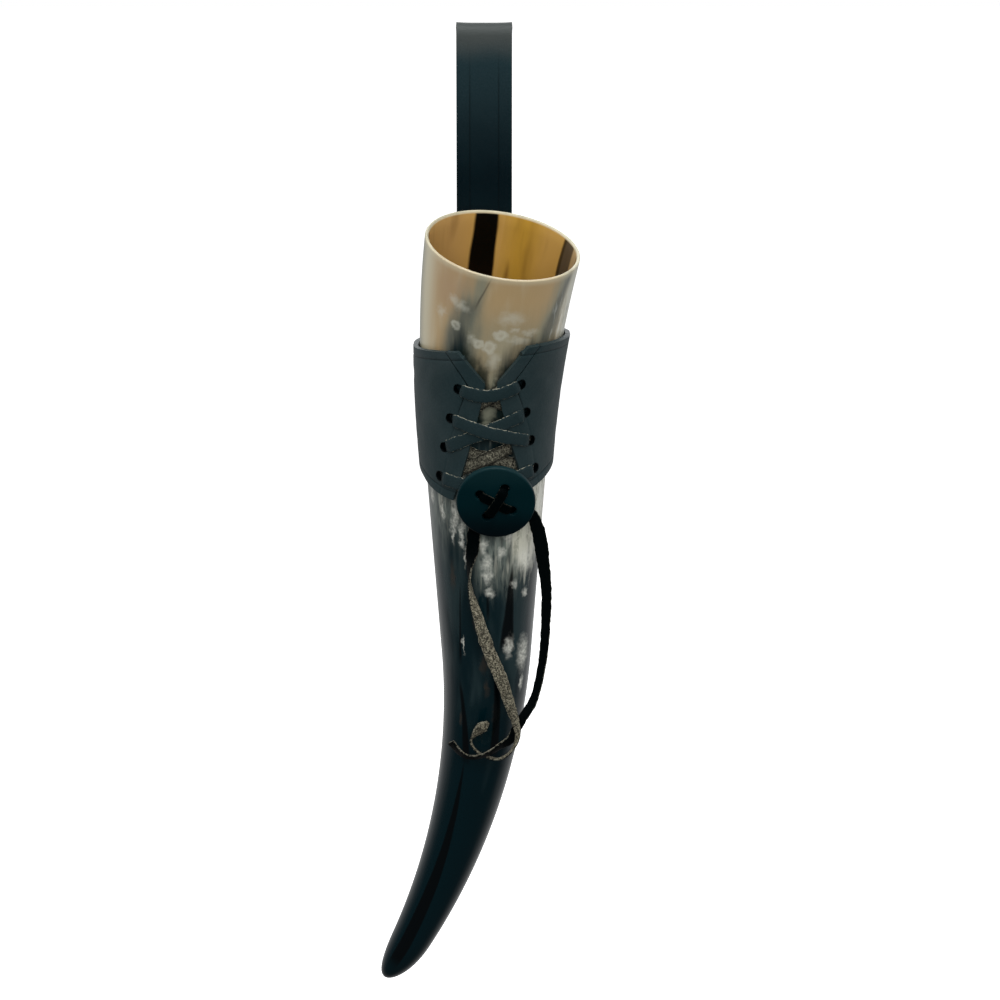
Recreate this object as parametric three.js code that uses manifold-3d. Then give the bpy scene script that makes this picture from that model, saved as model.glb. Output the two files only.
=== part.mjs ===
// A drinking horn in its belt holder: a polished hollow horn stands in a laced leather cuff, and a strap
// folded into a belt loop carries the cuff. Millimetres, +Z up, the laced front faces -Y. The origin is the
// top of the belt loop's inside, where the belt bears.
import * as THREE from "three";
import { mergeVertices } from "three/addons/utils/BufferGeometryUtils.js";
import Module from "manifold-3d";

const wasm = await Module();
wasm.setup();

// Gap kept between pieces that touch
const TOUCH_GAP = 0.3;

// Horn: lengths run along its curved axis from the mouth
const HORN_LENGTH = 356;
const HORN_AXIS_X = 0.9;
const MOUTH_HEIGHT = -90.3;
const MOUTH_RADIUS = 34.4;
const MOUTH_DRAW_IN = 0.7;
const MOUTH_DRAW_LENGTH = 25;
const TIP_RADIUS = 7.4;
const TIP_ROUNDING = 21;
const MOUTH_LEAN = 9.5;
const LEAN_LENGTH = 93;
const MOUTH_NOD = 18;
const NOD_LENGTH = 107;
const SWEEP_START = 188;
const TIP_SWEEP = 32.4;
const RIM_WALL = 2.2;
const HOLLOW_DEPTH = 245;
const HOLLOW_ROUNDING = 22;
const WALL_GROWTH = 5;

// Cuff: clearances to the horn, heights of its edges, and the laced opening at its front
const CUFF_THICKNESS = 2.2;
const SIDE_CLEARANCE = 0.5;
const FRONT_CLEARANCE = 3.6;
const BACK_CLEARANCE = 3.2;
const CUFF_TOP = -133.3;
const CUFF_BOTTOM = -190;
const BOTTOM_DIP = 8;
const BOTTOM_POINT = 5;
const CUFF_ROLL = 2.6;
const OPENING_X = 3.2;
const NOTCH_HALF_WIDTH = 15.5;
const NOTCH_DEPTH = 15;
const THROAT_HALF_WIDTH = 2.6;
const FOOT_HALF_WIDTH = 15.5;

// Lace and its holes in the cuff
const HOLE_ROWS = 4;
const HOLE_RADIUS = 2.2;
const HOLE_TOP = -150;
const HOLE_PITCH = 13.4;
const HOLE_CENTRE_ANGLE = 1.4;
const HOLE_FIRST_ANGLE = 22;
const HOLE_ANGLE_STEP = 6.3;
const LACE_WIDTH = 4.5;
const LACE_THICKNESS = 1.2;
const PINCHED_WIDTH = 2.4;
const PINCHED_THICKNESS = 0.9;
const LACE_EASE = 0.25;
const LACE_STUB = 2.5;
const TURN_RADIUS = 1.2;

// Lace button
const BUTTON_RADIUS = 17.4;
const BUTTON_THICKNESS = 3.2;
const BUTTON_EDGE = 0.8;
const BUTTON_X = 5.3;
const BUTTON_HEIGHT = -201.4;
const BUTTON_TILT = 17;
const BUTTON_STAND_OFF = 2.4;
const BUTTON_HOLE_RADIUS = 2;
const BUTTON_HOLE_RING = 8;
const BUTTON_TURN = 15.5;

// Belt strap
const STRAP_WIDTH = 25;
const STRAP_THICKNESS = 2.5;
const LOOP_GAP = 6;
const LOOP_STRAIGHT = 70;
const LOOP_CLOSE = 34;
const STRAP_END = -184;

// Rivets
const RIVET_HEIGHTS = { upper: -149, lower: -176 };
const RIVET_POST_RADIUS = 1.5;
const RIVET_CAP_RADIUS = 4.5;
const RIVET_CAP_THICKNESS = 0.9;
const RIVET_CAP_FLAT = 0.4;

// Free ends of the lace: points on their centrelines, measured from the horn's straight axis
const LEFT_TAIL_ROUTE = [
  [0, -28.5, -209.5], [-4, -26.8, -215.5], [-5, -27, -224], [-6.5, -27.5, -234], [-6, -28, -243],
  [-3, -28.5, -254], [0.5, -29, -265.5], [3, -29, -272.5], [6, -29, -279.5], [9, -29, -287.5],
  [11.5, -28.5, -295.5], [14, -28.5, -303.5], [15, -28.5, -309.5], [13.5, -28, -315], [10, -27.2, -319.5],
  [6, -26, -321.5], [0.5, -25, -320.5], [-4, -25, -317.5], [-6, -25, -313.5], [-4.5, -26, -309],
  [-2, -27, -306], [1.5, -28, -306.5],
];
const RIGHT_TAIL_ROUTE = [
  [15, -29.6, -205.5], [20.5, -28.2, -208], [24, -28, -214.5], [26, -27.5, -222.5], [27.5, -27, -231.5],
  [29, -27, -243], [29, -26.5, -254.5], [28.5, -26.5, -266], [27, -26, -278], [25, -25.5, -287.5],
  [22, -25.5, -296], [17.5, -25.5, -302.5], [14.5, -25, -307.5], [12, -25, -312.5], [7, -26.2, -315.5],
  [1, -28.5, -318.5], [-5.5, -28.5, -320], [-10, -28.5, -318.5], [-13, -28, -315.5], [-15, -28, -313],
];

// Fineness of the solids: facets around, rings along, and points where a shape is measured
const FACETS = { horn: 40, cuff: 64, hole: 16, button: 40, rivet: 20, curve: 8 };
const HORN_RINGS = { outside: 20, tip: 6, rim: 6, inside: 12, bottom: 5 };
const CUFF_ROWS = 6;
const CUFF_SAMPLES = 40;
const AXIS_STEPS = 712;
const HALVINGS = 40;
const TURN_STEPS = 3;
const LEAD_STEPS = 3;
const SPAN_STEPS = 8;
const TAIL_STEPS = 56;

// Shares of a lace span where it is full width from, and where it lies highest over another
const CUFF_SPAN = { wide: 0.1, high: 0.3 };
const BUTTON_SPAN = { wide: 0.22, high: 0.36 };
const LEAD_WIDE = { from: 0.2, to: 0.6 };

// Cutters are this many times as long as what they pass through
const CUT_THROUGH = 4;

const radians = THREE.MathUtils.degToRad;
const clamp = THREE.MathUtils.clamp;
const lerp = THREE.MathUtils.lerp;

// Horn axis: its direction turns sideways and forward over known lengths, and its place is the running sum.
function axisDirection(station) {
  const lean = radians(MOUTH_LEAN) * clamp(1 - station / LEAN_LENGTH, 0, 1);
  const swept = clamp((station - SWEEP_START) / (HORN_LENGTH - SWEEP_START), 0, 1);
  const side = lean + radians(TIP_SWEEP) * swept;
  const nod = radians(MOUTH_NOD) * clamp(1 - station / NOD_LENGTH, 0, 1);
  return new THREE.Vector3(
    -Math.sin(side) * Math.cos(nod),
    Math.sin(nod),
    -Math.cos(side) * Math.cos(nod),
  );
}

function sumAxis() {
  const step = HORN_LENGTH / AXIS_STEPS;
  const centres = [new THREE.Vector3()];
  for (let i = 1; i <= AXIS_STEPS; i++) {
    const middle = axisDirection((i - 0.5) * step);
    centres.push(centres[i - 1].clone().addScaledVector(middle, step));
  }
  const straight = centres[Math.round((Math.max(LEAN_LENGTH, NOD_LENGTH) / HORN_LENGTH) * AXIS_STEPS)];
  const shift = new THREE.Vector3(HORN_AXIS_X - straight.x, -straight.y, MOUTH_HEIGHT);
  return centres.map((centre) => centre.add(shift));
}

const axisCentres = sumAxis();

function axisFrame(station) {
  const place = clamp(station / HORN_LENGTH, 0, 1) * AXIS_STEPS;
  const first = Math.min(Math.floor(place), AXIS_STEPS - 1);
  const centre = axisCentres[first].clone().lerp(axisCentres[first + 1], place - first);
  const along = axisDirection(station);
  const side = new THREE.Vector3().crossVectors(along, new THREE.Vector3(0, 1, 0)).normalize();
  const front = new THREE.Vector3().crossVectors(along, side).normalize();
  return { centre, along, side, front };
}

function hornRadius(station) {
  const drawnIn = MOUTH_DRAW_IN * (1 - Math.exp(-station / MOUTH_DRAW_LENGTH));
  const taper = (MOUTH_RADIUS + MOUTH_DRAW_IN - TIP_RADIUS) / HORN_LENGTH;
  const ending = clamp((station - HORN_LENGTH + TIP_ROUNDING) / TIP_ROUNDING, 0, 1);
  return (MOUTH_RADIUS + drawnIn - taper * station) * Math.sqrt(1 - ending ** 3);
}

function hollowRadius(station) {
  const wall = RIM_WALL + WALL_GROWTH * (station / HOLLOW_DEPTH) ** 2;
  const ending = clamp((station - HOLLOW_DEPTH + HOLLOW_ROUNDING) / HOLLOW_ROUNDING, 0, 1);
  return (hornRadius(station) - wall) * Math.sqrt(1 - ending ** 2);
}

// A point at an angle from the front, at a station along the axis and a distance from the axis
function aroundAxis(angle, station, radius) {
  const { centre, side, front } = axisFrame(station);
  centre.addScaledVector(front, radius * Math.cos(angle));
  return centre.addScaledVector(side, radius * Math.sin(angle));
}

// A point a given distance off the horn's outside
function offHorn(angle, station, distance) {
  return aroundAxis(angle, station, hornRadius(station) + distance);
}

// Station where the surface at that distance off the horn comes down to a height
function stationAtHeight(angle, distance, height) {
  let above = 0;
  let below = HORN_LENGTH;
  for (let i = 0; i < HALVINGS; i++) {
    const middle = (above + below) / 2;
    if (offHorn(angle, middle, distance).z > height) above = middle;
    else below = middle;
  }
  return (above + below) / 2;
}

// A point's angle, station and distance off the horn's outside
function onHorn(place) {
  let above = 0;
  let below = HORN_LENGTH;
  for (let i = 0; i < HALVINGS; i++) {
    const middle = (above + below) / 2;
    const { centre, along } = axisFrame(middle);
    if (place.clone().sub(centre).dot(along) > 0) above = middle;
    else below = middle;
  }
  const station = (above + below) / 2;
  const { centre, side, front } = axisFrame(station);
  const away = place.clone().sub(centre);
  const angle = Math.atan2(away.dot(side), away.dot(front));
  return { angle, station, distance: away.length() - hornRadius(station) };
}

// Solids
function asSolid(geometry) {
  const bare = geometry.clone();
  bare.deleteAttribute("normal");
  bare.deleteAttribute("uv");
  const merged = mergeVertices(bare, 1e-4);
  const corners = merged.index.array;
  const kept = [];
  for (let i = 0; i < corners.length; i += 3) {
    const [a, b, c] = corners.slice(i, i + 3);
    if (a !== b && b !== c && c !== a) kept.push(a, b, c);
  }
  const vertProperties = new Float32Array(merged.attributes.position.array);
  return new wasm.Manifold(new wasm.Mesh({ numProp: 3, vertProperties, triVerts: new Uint32Array(kept) }));
}

function asGeometry(solid) {
  const mesh = solid.getMesh();
  const geometry = new THREE.BufferGeometry();
  geometry.setAttribute("position", new THREE.BufferAttribute(new Float32Array(mesh.vertProperties), 3));
  geometry.setIndex(new THREE.BufferAttribute(new Uint32Array(mesh.triVerts), 1));
  geometry.computeVertexNormals();
  return geometry;
}

function cut(geometry, cutters) {
  return asGeometry(cutters.reduce((solid, cutter) => solid.subtract(asSolid(cutter)), asSolid(geometry)));
}

function remap(geometry, move) {
  const position = geometry.getAttribute("position");
  const point = new THREE.Vector3();
  for (let i = 0; i < position.count; i++) {
    const moved = move(point.fromBufferAttribute(position, i));
    position.setXYZ(i, moved.x, moved.y, moved.z);
  }
  geometry.computeVertexNormals();
  return geometry;
}

// A turned profile of (radius, length) points, with each ring then carried to its place by move(angle, x, y)
function turned(profile, facets, move) {
  const points = profile.map(([x, y]) => new THREE.Vector2(x, y));
  const geometry = new THREE.LatheGeometry(points, facets);
  return remap(geometry, (p) => move(Math.atan2(p.x, p.z), Math.hypot(p.x, p.z), p.y));
}

function rodAlong(centre, direction, radius, length, facets) {
  const rod = new THREE.CylinderGeometry(radius, radius, length, facets);
  const turn = new THREE.Quaternion().setFromUnitVectors(new THREE.Vector3(0, 1, 0), direction);
  return rod.applyQuaternion(turn).translate(centre.x, centre.y, centre.z);
}

// Horn
function spread(from, to, count, at) {
  return Array.from({ length: count + 1 }, (_, i) => at(lerp(from, to, i / count)));
}

function hornGeometry() {
  const lip = RIM_WALL / 2;
  const lipCentre = MOUTH_RADIUS - lip;
  const outside = spread(lip, HORN_LENGTH - TIP_ROUNDING, HORN_RINGS.outside, (s) => [hornRadius(s), s]);
  const tip = spread(0, Math.PI / 2, HORN_RINGS.tip, (a) => {
    const station = HORN_LENGTH - TIP_ROUNDING + TIP_ROUNDING * Math.sin(a);
    return [a < Math.PI / 2 ? hornRadius(station) : 0, station];
  }).slice(1);
  const rim = spread(Math.PI, 0, HORN_RINGS.rim, (a) => [
    lipCentre + lip * Math.cos(a),
    lip - lip * Math.sin(a),
  ]).slice(1, -1);
  const inside = spread(HOLLOW_DEPTH - HOLLOW_ROUNDING, lip, HORN_RINGS.inside, (s) => [hollowRadius(s), s]);
  const bottom = spread(Math.PI / 2, 0, HORN_RINGS.bottom, (a) => {
    const station = HOLLOW_DEPTH - HOLLOW_ROUNDING + HOLLOW_ROUNDING * Math.sin(a);
    return [a < Math.PI / 2 ? hollowRadius(station) : 0, station];
  }).slice(0, -1);
  const profile = [...bottom, ...inside, ...rim, ...outside, ...tip].reverse();
  return turned(profile, FACETS.horn, (angle, radius, station) => aroundAxis(angle, station, radius));
}

// Cuff
function cuffClearance(angle) {
  const facing = Math.cos(angle);
  const most = facing > 0 ? FRONT_CLEARANCE : BACK_CLEARANCE;
  return lerp(SIDE_CLEARANCE, most, Math.abs(facing));
}

function cuffOutside(angle) {
  return cuffClearance(angle) + CUFF_THICKNESS;
}

function cuffTop(angle) {
  return CUFF_TOP + CUFF_ROLL * Math.sin(angle);
}

function cuffBottom(angle) {
  const facing = Math.cos(angle);
  return CUFF_BOTTOM - BOTTOM_DIP * facing - BOTTOM_POINT * facing ** 2 + CUFF_ROLL * Math.sin(angle);
}

function cuffBand() {
  const inner = 1;
  const outer = 2;
  const down = spread(0, 1, CUFF_ROWS, (v) => [inner, v]);
  const up = spread(1, 0, CUFF_ROWS, (v) => [outer, v]);
  return turned([...down, ...up, [inner, 0]], FACETS.cuff, (angle, layer, v) => {
    const distance = cuffClearance(angle) + CUFF_THICKNESS * (layer - inner);
    const top = stationAtHeight(angle, distance, cuffTop(angle));
    const bottom = stationAtHeight(angle, distance, cuffBottom(angle));
    return offHorn(angle, lerp(top, bottom, v), distance);
  });
}

// The laced opening seen from the front: a V-notch down to the throat, then edges that draw apart to the foot
function openingCutter() {
  const throat = CUFF_TOP - NOTCH_DEPTH;
  const foot = CUFF_BOTTOM - BOTTOM_DIP - BOTTOM_POINT;
  const slope = (NOTCH_HALF_WIDTH - THROAT_HALF_WIDTH) / NOTCH_DEPTH;
  const reach = 2 * CUFF_ROLL + NOTCH_DEPTH;
  const wide = THROAT_HALF_WIDTH + slope * (NOTCH_DEPTH + reach);
  const low = foot - reach;
  const bend = (throat + foot) / 2;
  const outline = new THREE.Shape();
  outline.moveTo(-wide, CUFF_TOP + reach);
  outline.lineTo(-THROAT_HALF_WIDTH, throat);
  outline.quadraticCurveTo(-THROAT_HALF_WIDTH, bend, -FOOT_HALF_WIDTH, foot);
  outline.lineTo(-FOOT_HALF_WIDTH, low);
  outline.lineTo(FOOT_HALF_WIDTH, low);
  outline.lineTo(FOOT_HALF_WIDTH, foot);
  outline.quadraticCurveTo(THROAT_HALF_WIDTH, bend, THROAT_HALF_WIDTH, throat);
  outline.lineTo(wide, CUFF_TOP + reach);
  outline.closePath();
  const options = { depth: CUT_THROUGH * MOUTH_RADIUS, bevelEnabled: false, curveSegments: FACETS.curve };
  const cutter = new THREE.ExtrudeGeometry(outline, options);
  return cutter.rotateX(Math.PI / 2).translate(OPENING_X, 0, 0);
}

function laceHole(row, side) {
  const angle = radians(HOLE_CENTRE_ANGLE + side * (HOLE_FIRST_ANGLE + row * HOLE_ANGLE_STEP));
  const height = HOLE_TOP - row * HOLE_PITCH + CUFF_ROLL * Math.sin(angle);
  return { angle, station: stationAtHeight(angle, cuffOutside(angle), height) };
}

const LEFT = -1;
const RIGHT = 1;
const holeRows = Array.from({ length: HOLE_ROWS }, (_, row) => row);
const holes = {
  [LEFT]: holeRows.map((row) => laceHole(row, LEFT)),
  [RIGHT]: holeRows.map((row) => laceHole(row, RIGHT)),
};

function outward(angle, station) {
  const { side, front } = axisFrame(station);
  return front.multiplyScalar(Math.cos(angle)).addScaledVector(side, Math.sin(angle));
}

function holeCutter({ angle, station }) {
  const middle = offHorn(angle, station, cuffClearance(angle) + CUFF_THICKNESS / 2);
  return rodAlong(middle, outward(angle, station), HOLE_RADIUS, CUT_THROUGH * CUFF_THICKNESS, FACETS.hole);
}

// Flat lace along points that each carry a place, a direction across the lace, a width and a thickness
function ribbon(points) {
  const last = points.length - 1;
  const box = new THREE.BoxGeometry(1, 1, 1, 1, 1, last);
  return remap(box, (p) => {
    const i = Math.round((p.z + 0.5) * last);
    const { place, width, thickness } = points[i];
    const before = points[Math.max(i - 1, 0)].place;
    const along = points[Math.min(i + 1, last)].place.clone().sub(before).normalize();
    const across = points[i].across.clone();
    across.addScaledVector(along, -across.dot(along)).normalize();
    const face = new THREE.Vector3().crossVectors(along, across);
    return place.clone().addScaledVector(across, p.x * width).addScaledVector(face, p.y * thickness);
  });
}

// Directions across a lace: square to its run and to the way it faces, carried over where it enters a hole
function layAcross(points) {
  const spans = points.map((p, i) => {
    if (p.pinched) return null;
    const before = points[Math.max(i - 1, 0)].place;
    const after = points[Math.min(i + 1, points.length - 1)].place;
    return new THREE.Vector3().crossVectors(p.facing, after.clone().sub(before)).normalize();
  });
  let last = spans.find((span) => span);
  const forward = spans.map((span) => {
    if (span && span.dot(last) < 0) span.negate();
    last = span ?? last;
    return last;
  });
  return points.map((p, i) => {
    const next = forward.slice(i).find((_, k) => spans[i + k]) ?? forward[i];
    return { ...p, across: forward[i].clone().add(next).normalize() };
  });
}

const LACE_LIFT = TOUCH_GAP + LACE_EASE + LACE_THICKNESS / 2;
const CROSSING_LIFT = LACE_THICKNESS + TOUCH_GAP;
const innerLane = () => LACE_LIFT;
const outerLane = (angle) => cuffOutside(angle) + LACE_LIFT;

const wideLace = { pinched: false, width: LACE_WIDTH, thickness: LACE_THICKNESS };
const pinchedLace = { pinched: true, width: PINCHED_WIDTH, thickness: PINCHED_THICKNESS };

// A quarter turn from a lane into a hole, as distances aside from the hole and down from the lane
const quarterTurn = spread(0, Math.PI / 2, TURN_STEPS, (turn) => [
  TURN_RADIUS * (1 - Math.sin(turn)),
  TURN_RADIUS * (1 - Math.cos(turn)),
]);

// A lace through a hole of the cuff from the outside in, coming from one point and going to another
function throughHole({ angle, station }, from, to) {
  const facing = outward(angle, station);
  const turnIn = (towards, lane, down) => {
    const middle = offHorn(angle, station, lane);
    const aside = towards.place.clone().sub(middle);
    aside.addScaledVector(facing, -aside.dot(facing)).normalize();
    return quarterTurn.map(([away, drop]) => {
      const place = offHorn(angle, station, lane + down * drop).addScaledVector(aside, away);
      return { ...pinchedLace, place, facing };
    });
  };
  return [...turnIn(from, outerLane(angle), -1), ...turnIn(to, innerLane(), 1).reverse()];
}

// A lace from hole to hole in one lane, lifted in the middle where it crosses over another
function laceSpan(from, to, lane, lift) {
  return spread(CUFF_SPAN.wide, 1 - CUFF_SPAN.wide, SPAN_STEPS, (share) => {
    const angle = lerp(from.angle, to.angle, share);
    const station = lerp(from.station, to.station, share);
    const lifted = THREE.MathUtils.smoothstep(Math.min(share, 1 - share), CUFF_SPAN.wide, CUFF_SPAN.high);
    const place = offHorn(angle, station, lane(angle) + lift * lifted);
    return { ...wideLace, place, facing: outward(angle, station) };
  });
}

// Lace button: its own frame has x across, y up its face and z out of its face
function buttonFrame() {
  const tilt = radians(BUTTON_TILT);
  const low = BUTTON_HEIGHT - BUTTON_RADIUS * Math.cos(tilt);
  const hornFront = offHorn(0, stationAtHeight(0, 0, low), 0).y;
  const backCentre = hornFront - BUTTON_STAND_OFF - BUTTON_RADIUS * Math.sin(tilt);
  const depth = backCentre - (BUTTON_THICKNESS / 2) * Math.cos(tilt);
  const centre = new THREE.Vector3(BUTTON_X, depth, BUTTON_HEIGHT);
  const right = new THREE.Vector3(1, 0, 0);
  const up = new THREE.Vector3(0, -Math.sin(tilt), Math.cos(tilt));
  const out = new THREE.Vector3().crossVectors(right, up);
  return new THREE.Matrix4().makeBasis(right, up, out).setPosition(centre);
}

const buttonPlace = buttonFrame();

function buttonHole(quarter) {
  const angle = radians(45 + 90 * quarter + BUTTON_TURN);
  return new THREE.Vector2(Math.cos(angle), Math.sin(angle)).multiplyScalar(BUTTON_HOLE_RING);
}

const BUTTON_HOLES = { upperRight: 0, upperLeft: 1, lowerLeft: 2, lowerRight: 3 };

function buttonGeometry() {
  const half = BUTTON_THICKNESS / 2;
  const profile = [
    [0, -half],
    [BUTTON_RADIUS - BUTTON_EDGE, -half],
    [BUTTON_RADIUS, BUTTON_EDGE - half],
    [BUTTON_RADIUS, half - BUTTON_EDGE],
    [BUTTON_RADIUS - BUTTON_EDGE, half],
    [0, half],
  ];
  const disc = turned(profile, FACETS.button, (angle, radius, out) =>
    new THREE.Vector3(radius * Math.sin(angle), -radius * Math.cos(angle), out),
  );
  const out = new THREE.Vector3(0, 0, 1);
  const cutters = Object.values(BUTTON_HOLES).map((quarter) => {
    const { x, y } = buttonHole(quarter);
    const middle = new THREE.Vector3(x, y, 0);
    return rodAlong(middle, out, BUTTON_HOLE_RADIUS, CUT_THROUGH * BUTTON_THICKNESS, FACETS.hole);
  });
  return cut(disc, cutters).applyMatrix4(buttonPlace);
}

function buttonPoint(x, y, out, lace) {
  return {
    ...lace,
    place: new THREE.Vector3(x, y, out).applyMatrix4(buttonPlace),
    facing: new THREE.Vector3(0, 0, 1).transformDirection(buttonPlace),
  };
}

const buttonLane = BUTTON_THICKNESS / 2 + LACE_LIFT;

function onButton(place) {
  const local = place.clone().applyMatrix4(buttonPlace.clone().invert());
  return new THREE.Vector2(local.x, local.y);
}

// Behind a hole of the button the lace turns aside, towards a point of the button's face
function behindButton(hole, towards, reach) {
  const aside = towards.clone().sub(hole).normalize().multiplyScalar(reach).add(hole);
  return buttonPoint(aside.x, aside.y, -buttonLane, pinchedLace);
}

// From behind the button through a hole to its face, then on towards another hole
function throughButton(hole, towardsBehind, towardsFront) {
  const turnIn = (towards, lane, down) => {
    const aside = towards.clone().sub(hole).normalize();
    return quarterTurn.map(([away, drop]) =>
      buttonPoint(hole.x + aside.x * away, hole.y + aside.y * away, lane + down * drop, pinchedLace),
    );
  };
  return [
    behindButton(hole, towardsBehind, LACE_STUB),
    ...turnIn(towardsBehind, -buttonLane, 1),
    ...turnIn(towardsFront, buttonLane, -1).reverse(),
  ];
}

function buttonStrand(startHole, startTowards, endHole, endTowards, lift) {
  const start = buttonHole(startHole);
  const end = buttonHole(endHole);
  const { wide, high } = BUTTON_SPAN;
  const across = spread(wide, 1 - wide, SPAN_STEPS, (share) => {
    const place = start.clone().lerp(end, share);
    const lifted = THREE.MathUtils.smoothstep(Math.min(share, 1 - share), wide, high);
    return buttonPoint(place.x, place.y, buttonLane + lift * lifted, wideLace);
  });
  const points = [
    ...throughButton(start, startTowards, end),
    ...across,
    ...throughButton(end, endTowards, start).reverse(),
  ];
  return ribbon(layAcross(points));
}

// A lead leaves the lowest hole over the cuff's front, towards its hole in the button
const lastRow = HOLE_ROWS - 1;
const leadHole = { [LEFT]: buttonHole(BUTTON_HOLES.upperLeft), [RIGHT]: buttonHole(BUTTON_HOLES.upperRight) };

function leadLine(side) {
  const from = holes[side][lastRow];
  const { x, y } = leadHole[side];
  const target = new THREE.Vector3(x, y, -buttonLane).applyMatrix4(buttonPlace);
  const length = offHorn(from.angle, from.station, outerLane(from.angle)).distanceTo(target);
  return { from, to: onHorn(target), length };
}

function leadPoint(side, share, lace) {
  const { from, to } = leadLine(side);
  const angle = lerp(from.angle, to.angle, share);
  const station = lerp(from.station, to.station, share);
  const distance = Math.max(outerLane(angle), lerp(outerLane(from.angle), to.distance, share));
  const place = offHorn(angle, station, distance);
  return { ...lace, pinched: false, place, facing: outward(angle, station) };
}

function leadStart(side) {
  return leadPoint(side, LACE_STUB / leadLine(side).length, pinchedLace);
}

function leadAim(side) {
  return onButton(leadStart(side).place);
}

function leadGeometry(side) {
  const startShare = (LACE_STUB + TOUCH_GAP) / leadLine(side).length;
  const from = leadPoint(side, startShare, pinchedLace);
  const behind = behindButton(leadHole[side], leadAim(side), LACE_STUB + 2 * TOUCH_GAP);
  const between = spread(LEAD_WIDE.from, LEAD_WIDE.to, LEAD_STEPS, (share) =>
    leadPoint(side, lerp(startShare, 1, share), wideLace),
  );
  return ribbon(layAcross([from, ...between, { ...behind, pinched: false }]));
}

// One half of the cuff lace, from its lead up to the top row: inside, outside, inside, always changing sides
function laceHalf(side) {
  const lift = side === LEFT ? CROSSING_LIFT : 0;
  const stops = holeRows.map((step) => holes[step % 2 === 0 ? side : -side][lastRow - step]);
  const spans = stops.slice(1).map((next, step) => {
    const lane = step % 2 === 0 ? innerLane : outerLane;
    return laceSpan(stops[step], next, lane, lift);
  });
  const end = stops[lastRow];
  const points = [leadStart(side)];
  spans.forEach((span, step) => {
    const came = points.at(-1);
    const inward = () => throughHole(stops[step], came, span[0]);
    const outward = () => throughHole(stops[step], span[0], came).reverse();
    points.push(...(step % 2 === 0 ? inward() : outward()), ...span);
  });
  return { points, end };
}

function cuffLaceGeometry() {
  const left = laceHalf(LEFT);
  const right = laceHalf(RIGHT);
  const bar = laceSpan(left.end, right.end, outerLane, 0);
  const upLeft = throughHole(left.end, bar[0], left.points.at(-1)).reverse();
  const downRight = throughHole(right.end, bar.at(-1), right.points.at(-1));
  return ribbon(layAcross([...left.points, ...upLeft, ...bar, ...downRight, ...right.points.reverse()]));
}

// Tails face the front
function tailGeometry(route) {
  const curve = new THREE.CatmullRomCurve3(route.map((place) => new THREE.Vector3(...place)));
  const facing = new THREE.Vector3(0, -1, 0);
  const points = curve.getSpacedPoints(TAIL_STEPS).map((place) => ({ ...wideLace, place, facing }));
  return ribbon(layAcross(points));
}

// Belt strap, drawn from the side: x is depth behind the horn's axis, y is height
const strapFront = Math.max(...spread(0, 1, CUFF_SAMPLES, (v) => {
  const top = stationAtHeight(Math.PI, cuffOutside(Math.PI), cuffTop(Math.PI));
  const bottom = stationAtHeight(Math.PI, cuffOutside(Math.PI), cuffBottom(Math.PI));
  return offHorn(Math.PI, lerp(top, bottom, v), cuffOutside(Math.PI)).y;
})) + TOUCH_GAP;
const strapBack = strapFront + 2 * STRAP_THICKNESS + TOUCH_GAP;
const loopRadius = LOOP_GAP / 2;
const loopCentre = strapFront + STRAP_THICKNESS + loopRadius;
const loopBack = loopCentre + loopRadius + STRAP_THICKNESS;

function strapGeometry() {
  const bend = -loopRadius;
  const straightEnd = bend - LOOP_STRAIGHT;
  const closed = straightEnd - LOOP_CLOSE;
  const halfway = (straightEnd + closed) / 2;
  const inside = strapFront + STRAP_THICKNESS;
  const backInside = strapBack - STRAP_THICKNESS;
  const loopInside = loopBack - STRAP_THICKNESS;
  const outline = new THREE.Shape();
  outline.moveTo(strapFront, STRAP_END);
  outline.lineTo(strapFront, bend);
  outline.absarc(loopCentre, bend, loopRadius + STRAP_THICKNESS, Math.PI, 0, true);
  outline.lineTo(loopBack, straightEnd);
  outline.bezierCurveTo(loopBack, halfway, strapBack, halfway, strapBack, closed);
  outline.lineTo(strapBack, STRAP_END);
  outline.lineTo(backInside, STRAP_END);
  outline.lineTo(backInside, closed);
  outline.bezierCurveTo(backInside, halfway, loopInside, halfway, loopInside, straightEnd);
  outline.lineTo(loopInside, bend);
  outline.absarc(loopCentre, bend, loopRadius, 0, Math.PI, false);
  outline.lineTo(inside, STRAP_END);
  outline.closePath();
  const options = { depth: STRAP_WIDTH, bevelEnabled: false, curveSegments: FACETS.curve };
  const strap = new THREE.ExtrudeGeometry(outline, options).translate(0, 0, -STRAP_WIDTH / 2);
  const [x, y, z] = [new THREE.Vector3(1, 0, 0), new THREE.Vector3(0, 1, 0), new THREE.Vector3(0, 0, 1)];
  strap.applyMatrix4(new THREE.Matrix4().makeBasis(y, z, x));
  return cut(strap, Object.values(RIVET_HEIGHTS).map(rivetHoleCutter));
}

// Rivets run straight back through the cuff and both ends of the strap
const backward = new THREE.Vector3(0, 1, 0);

function rivetHoleCutter(height) {
  const length = CUT_THROUGH * (CUFF_THICKNESS + STRAP_THICKNESS);
  const middle = new THREE.Vector3(0, strapFront, height);
  return rodAlong(middle, backward, RIVET_POST_RADIUS + TOUCH_GAP, length, FACETS.hole);
}

// The inner cap touches the hollow side of the cuff at the cap's edge
function rivetSeat(height) {
  const station = stationAtHeight(Math.PI, cuffClearance(Math.PI), height);
  const radius = hornRadius(station) + cuffClearance(Math.PI);
  const sag = radius - Math.sqrt(radius ** 2 - RIVET_CAP_RADIUS ** 2);
  const slope = Math.abs(axisDirection(station).y) * RIVET_CAP_RADIUS;
  return offHorn(Math.PI, station, cuffClearance(Math.PI)).y - sag - slope - TOUCH_GAP;
}

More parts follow.
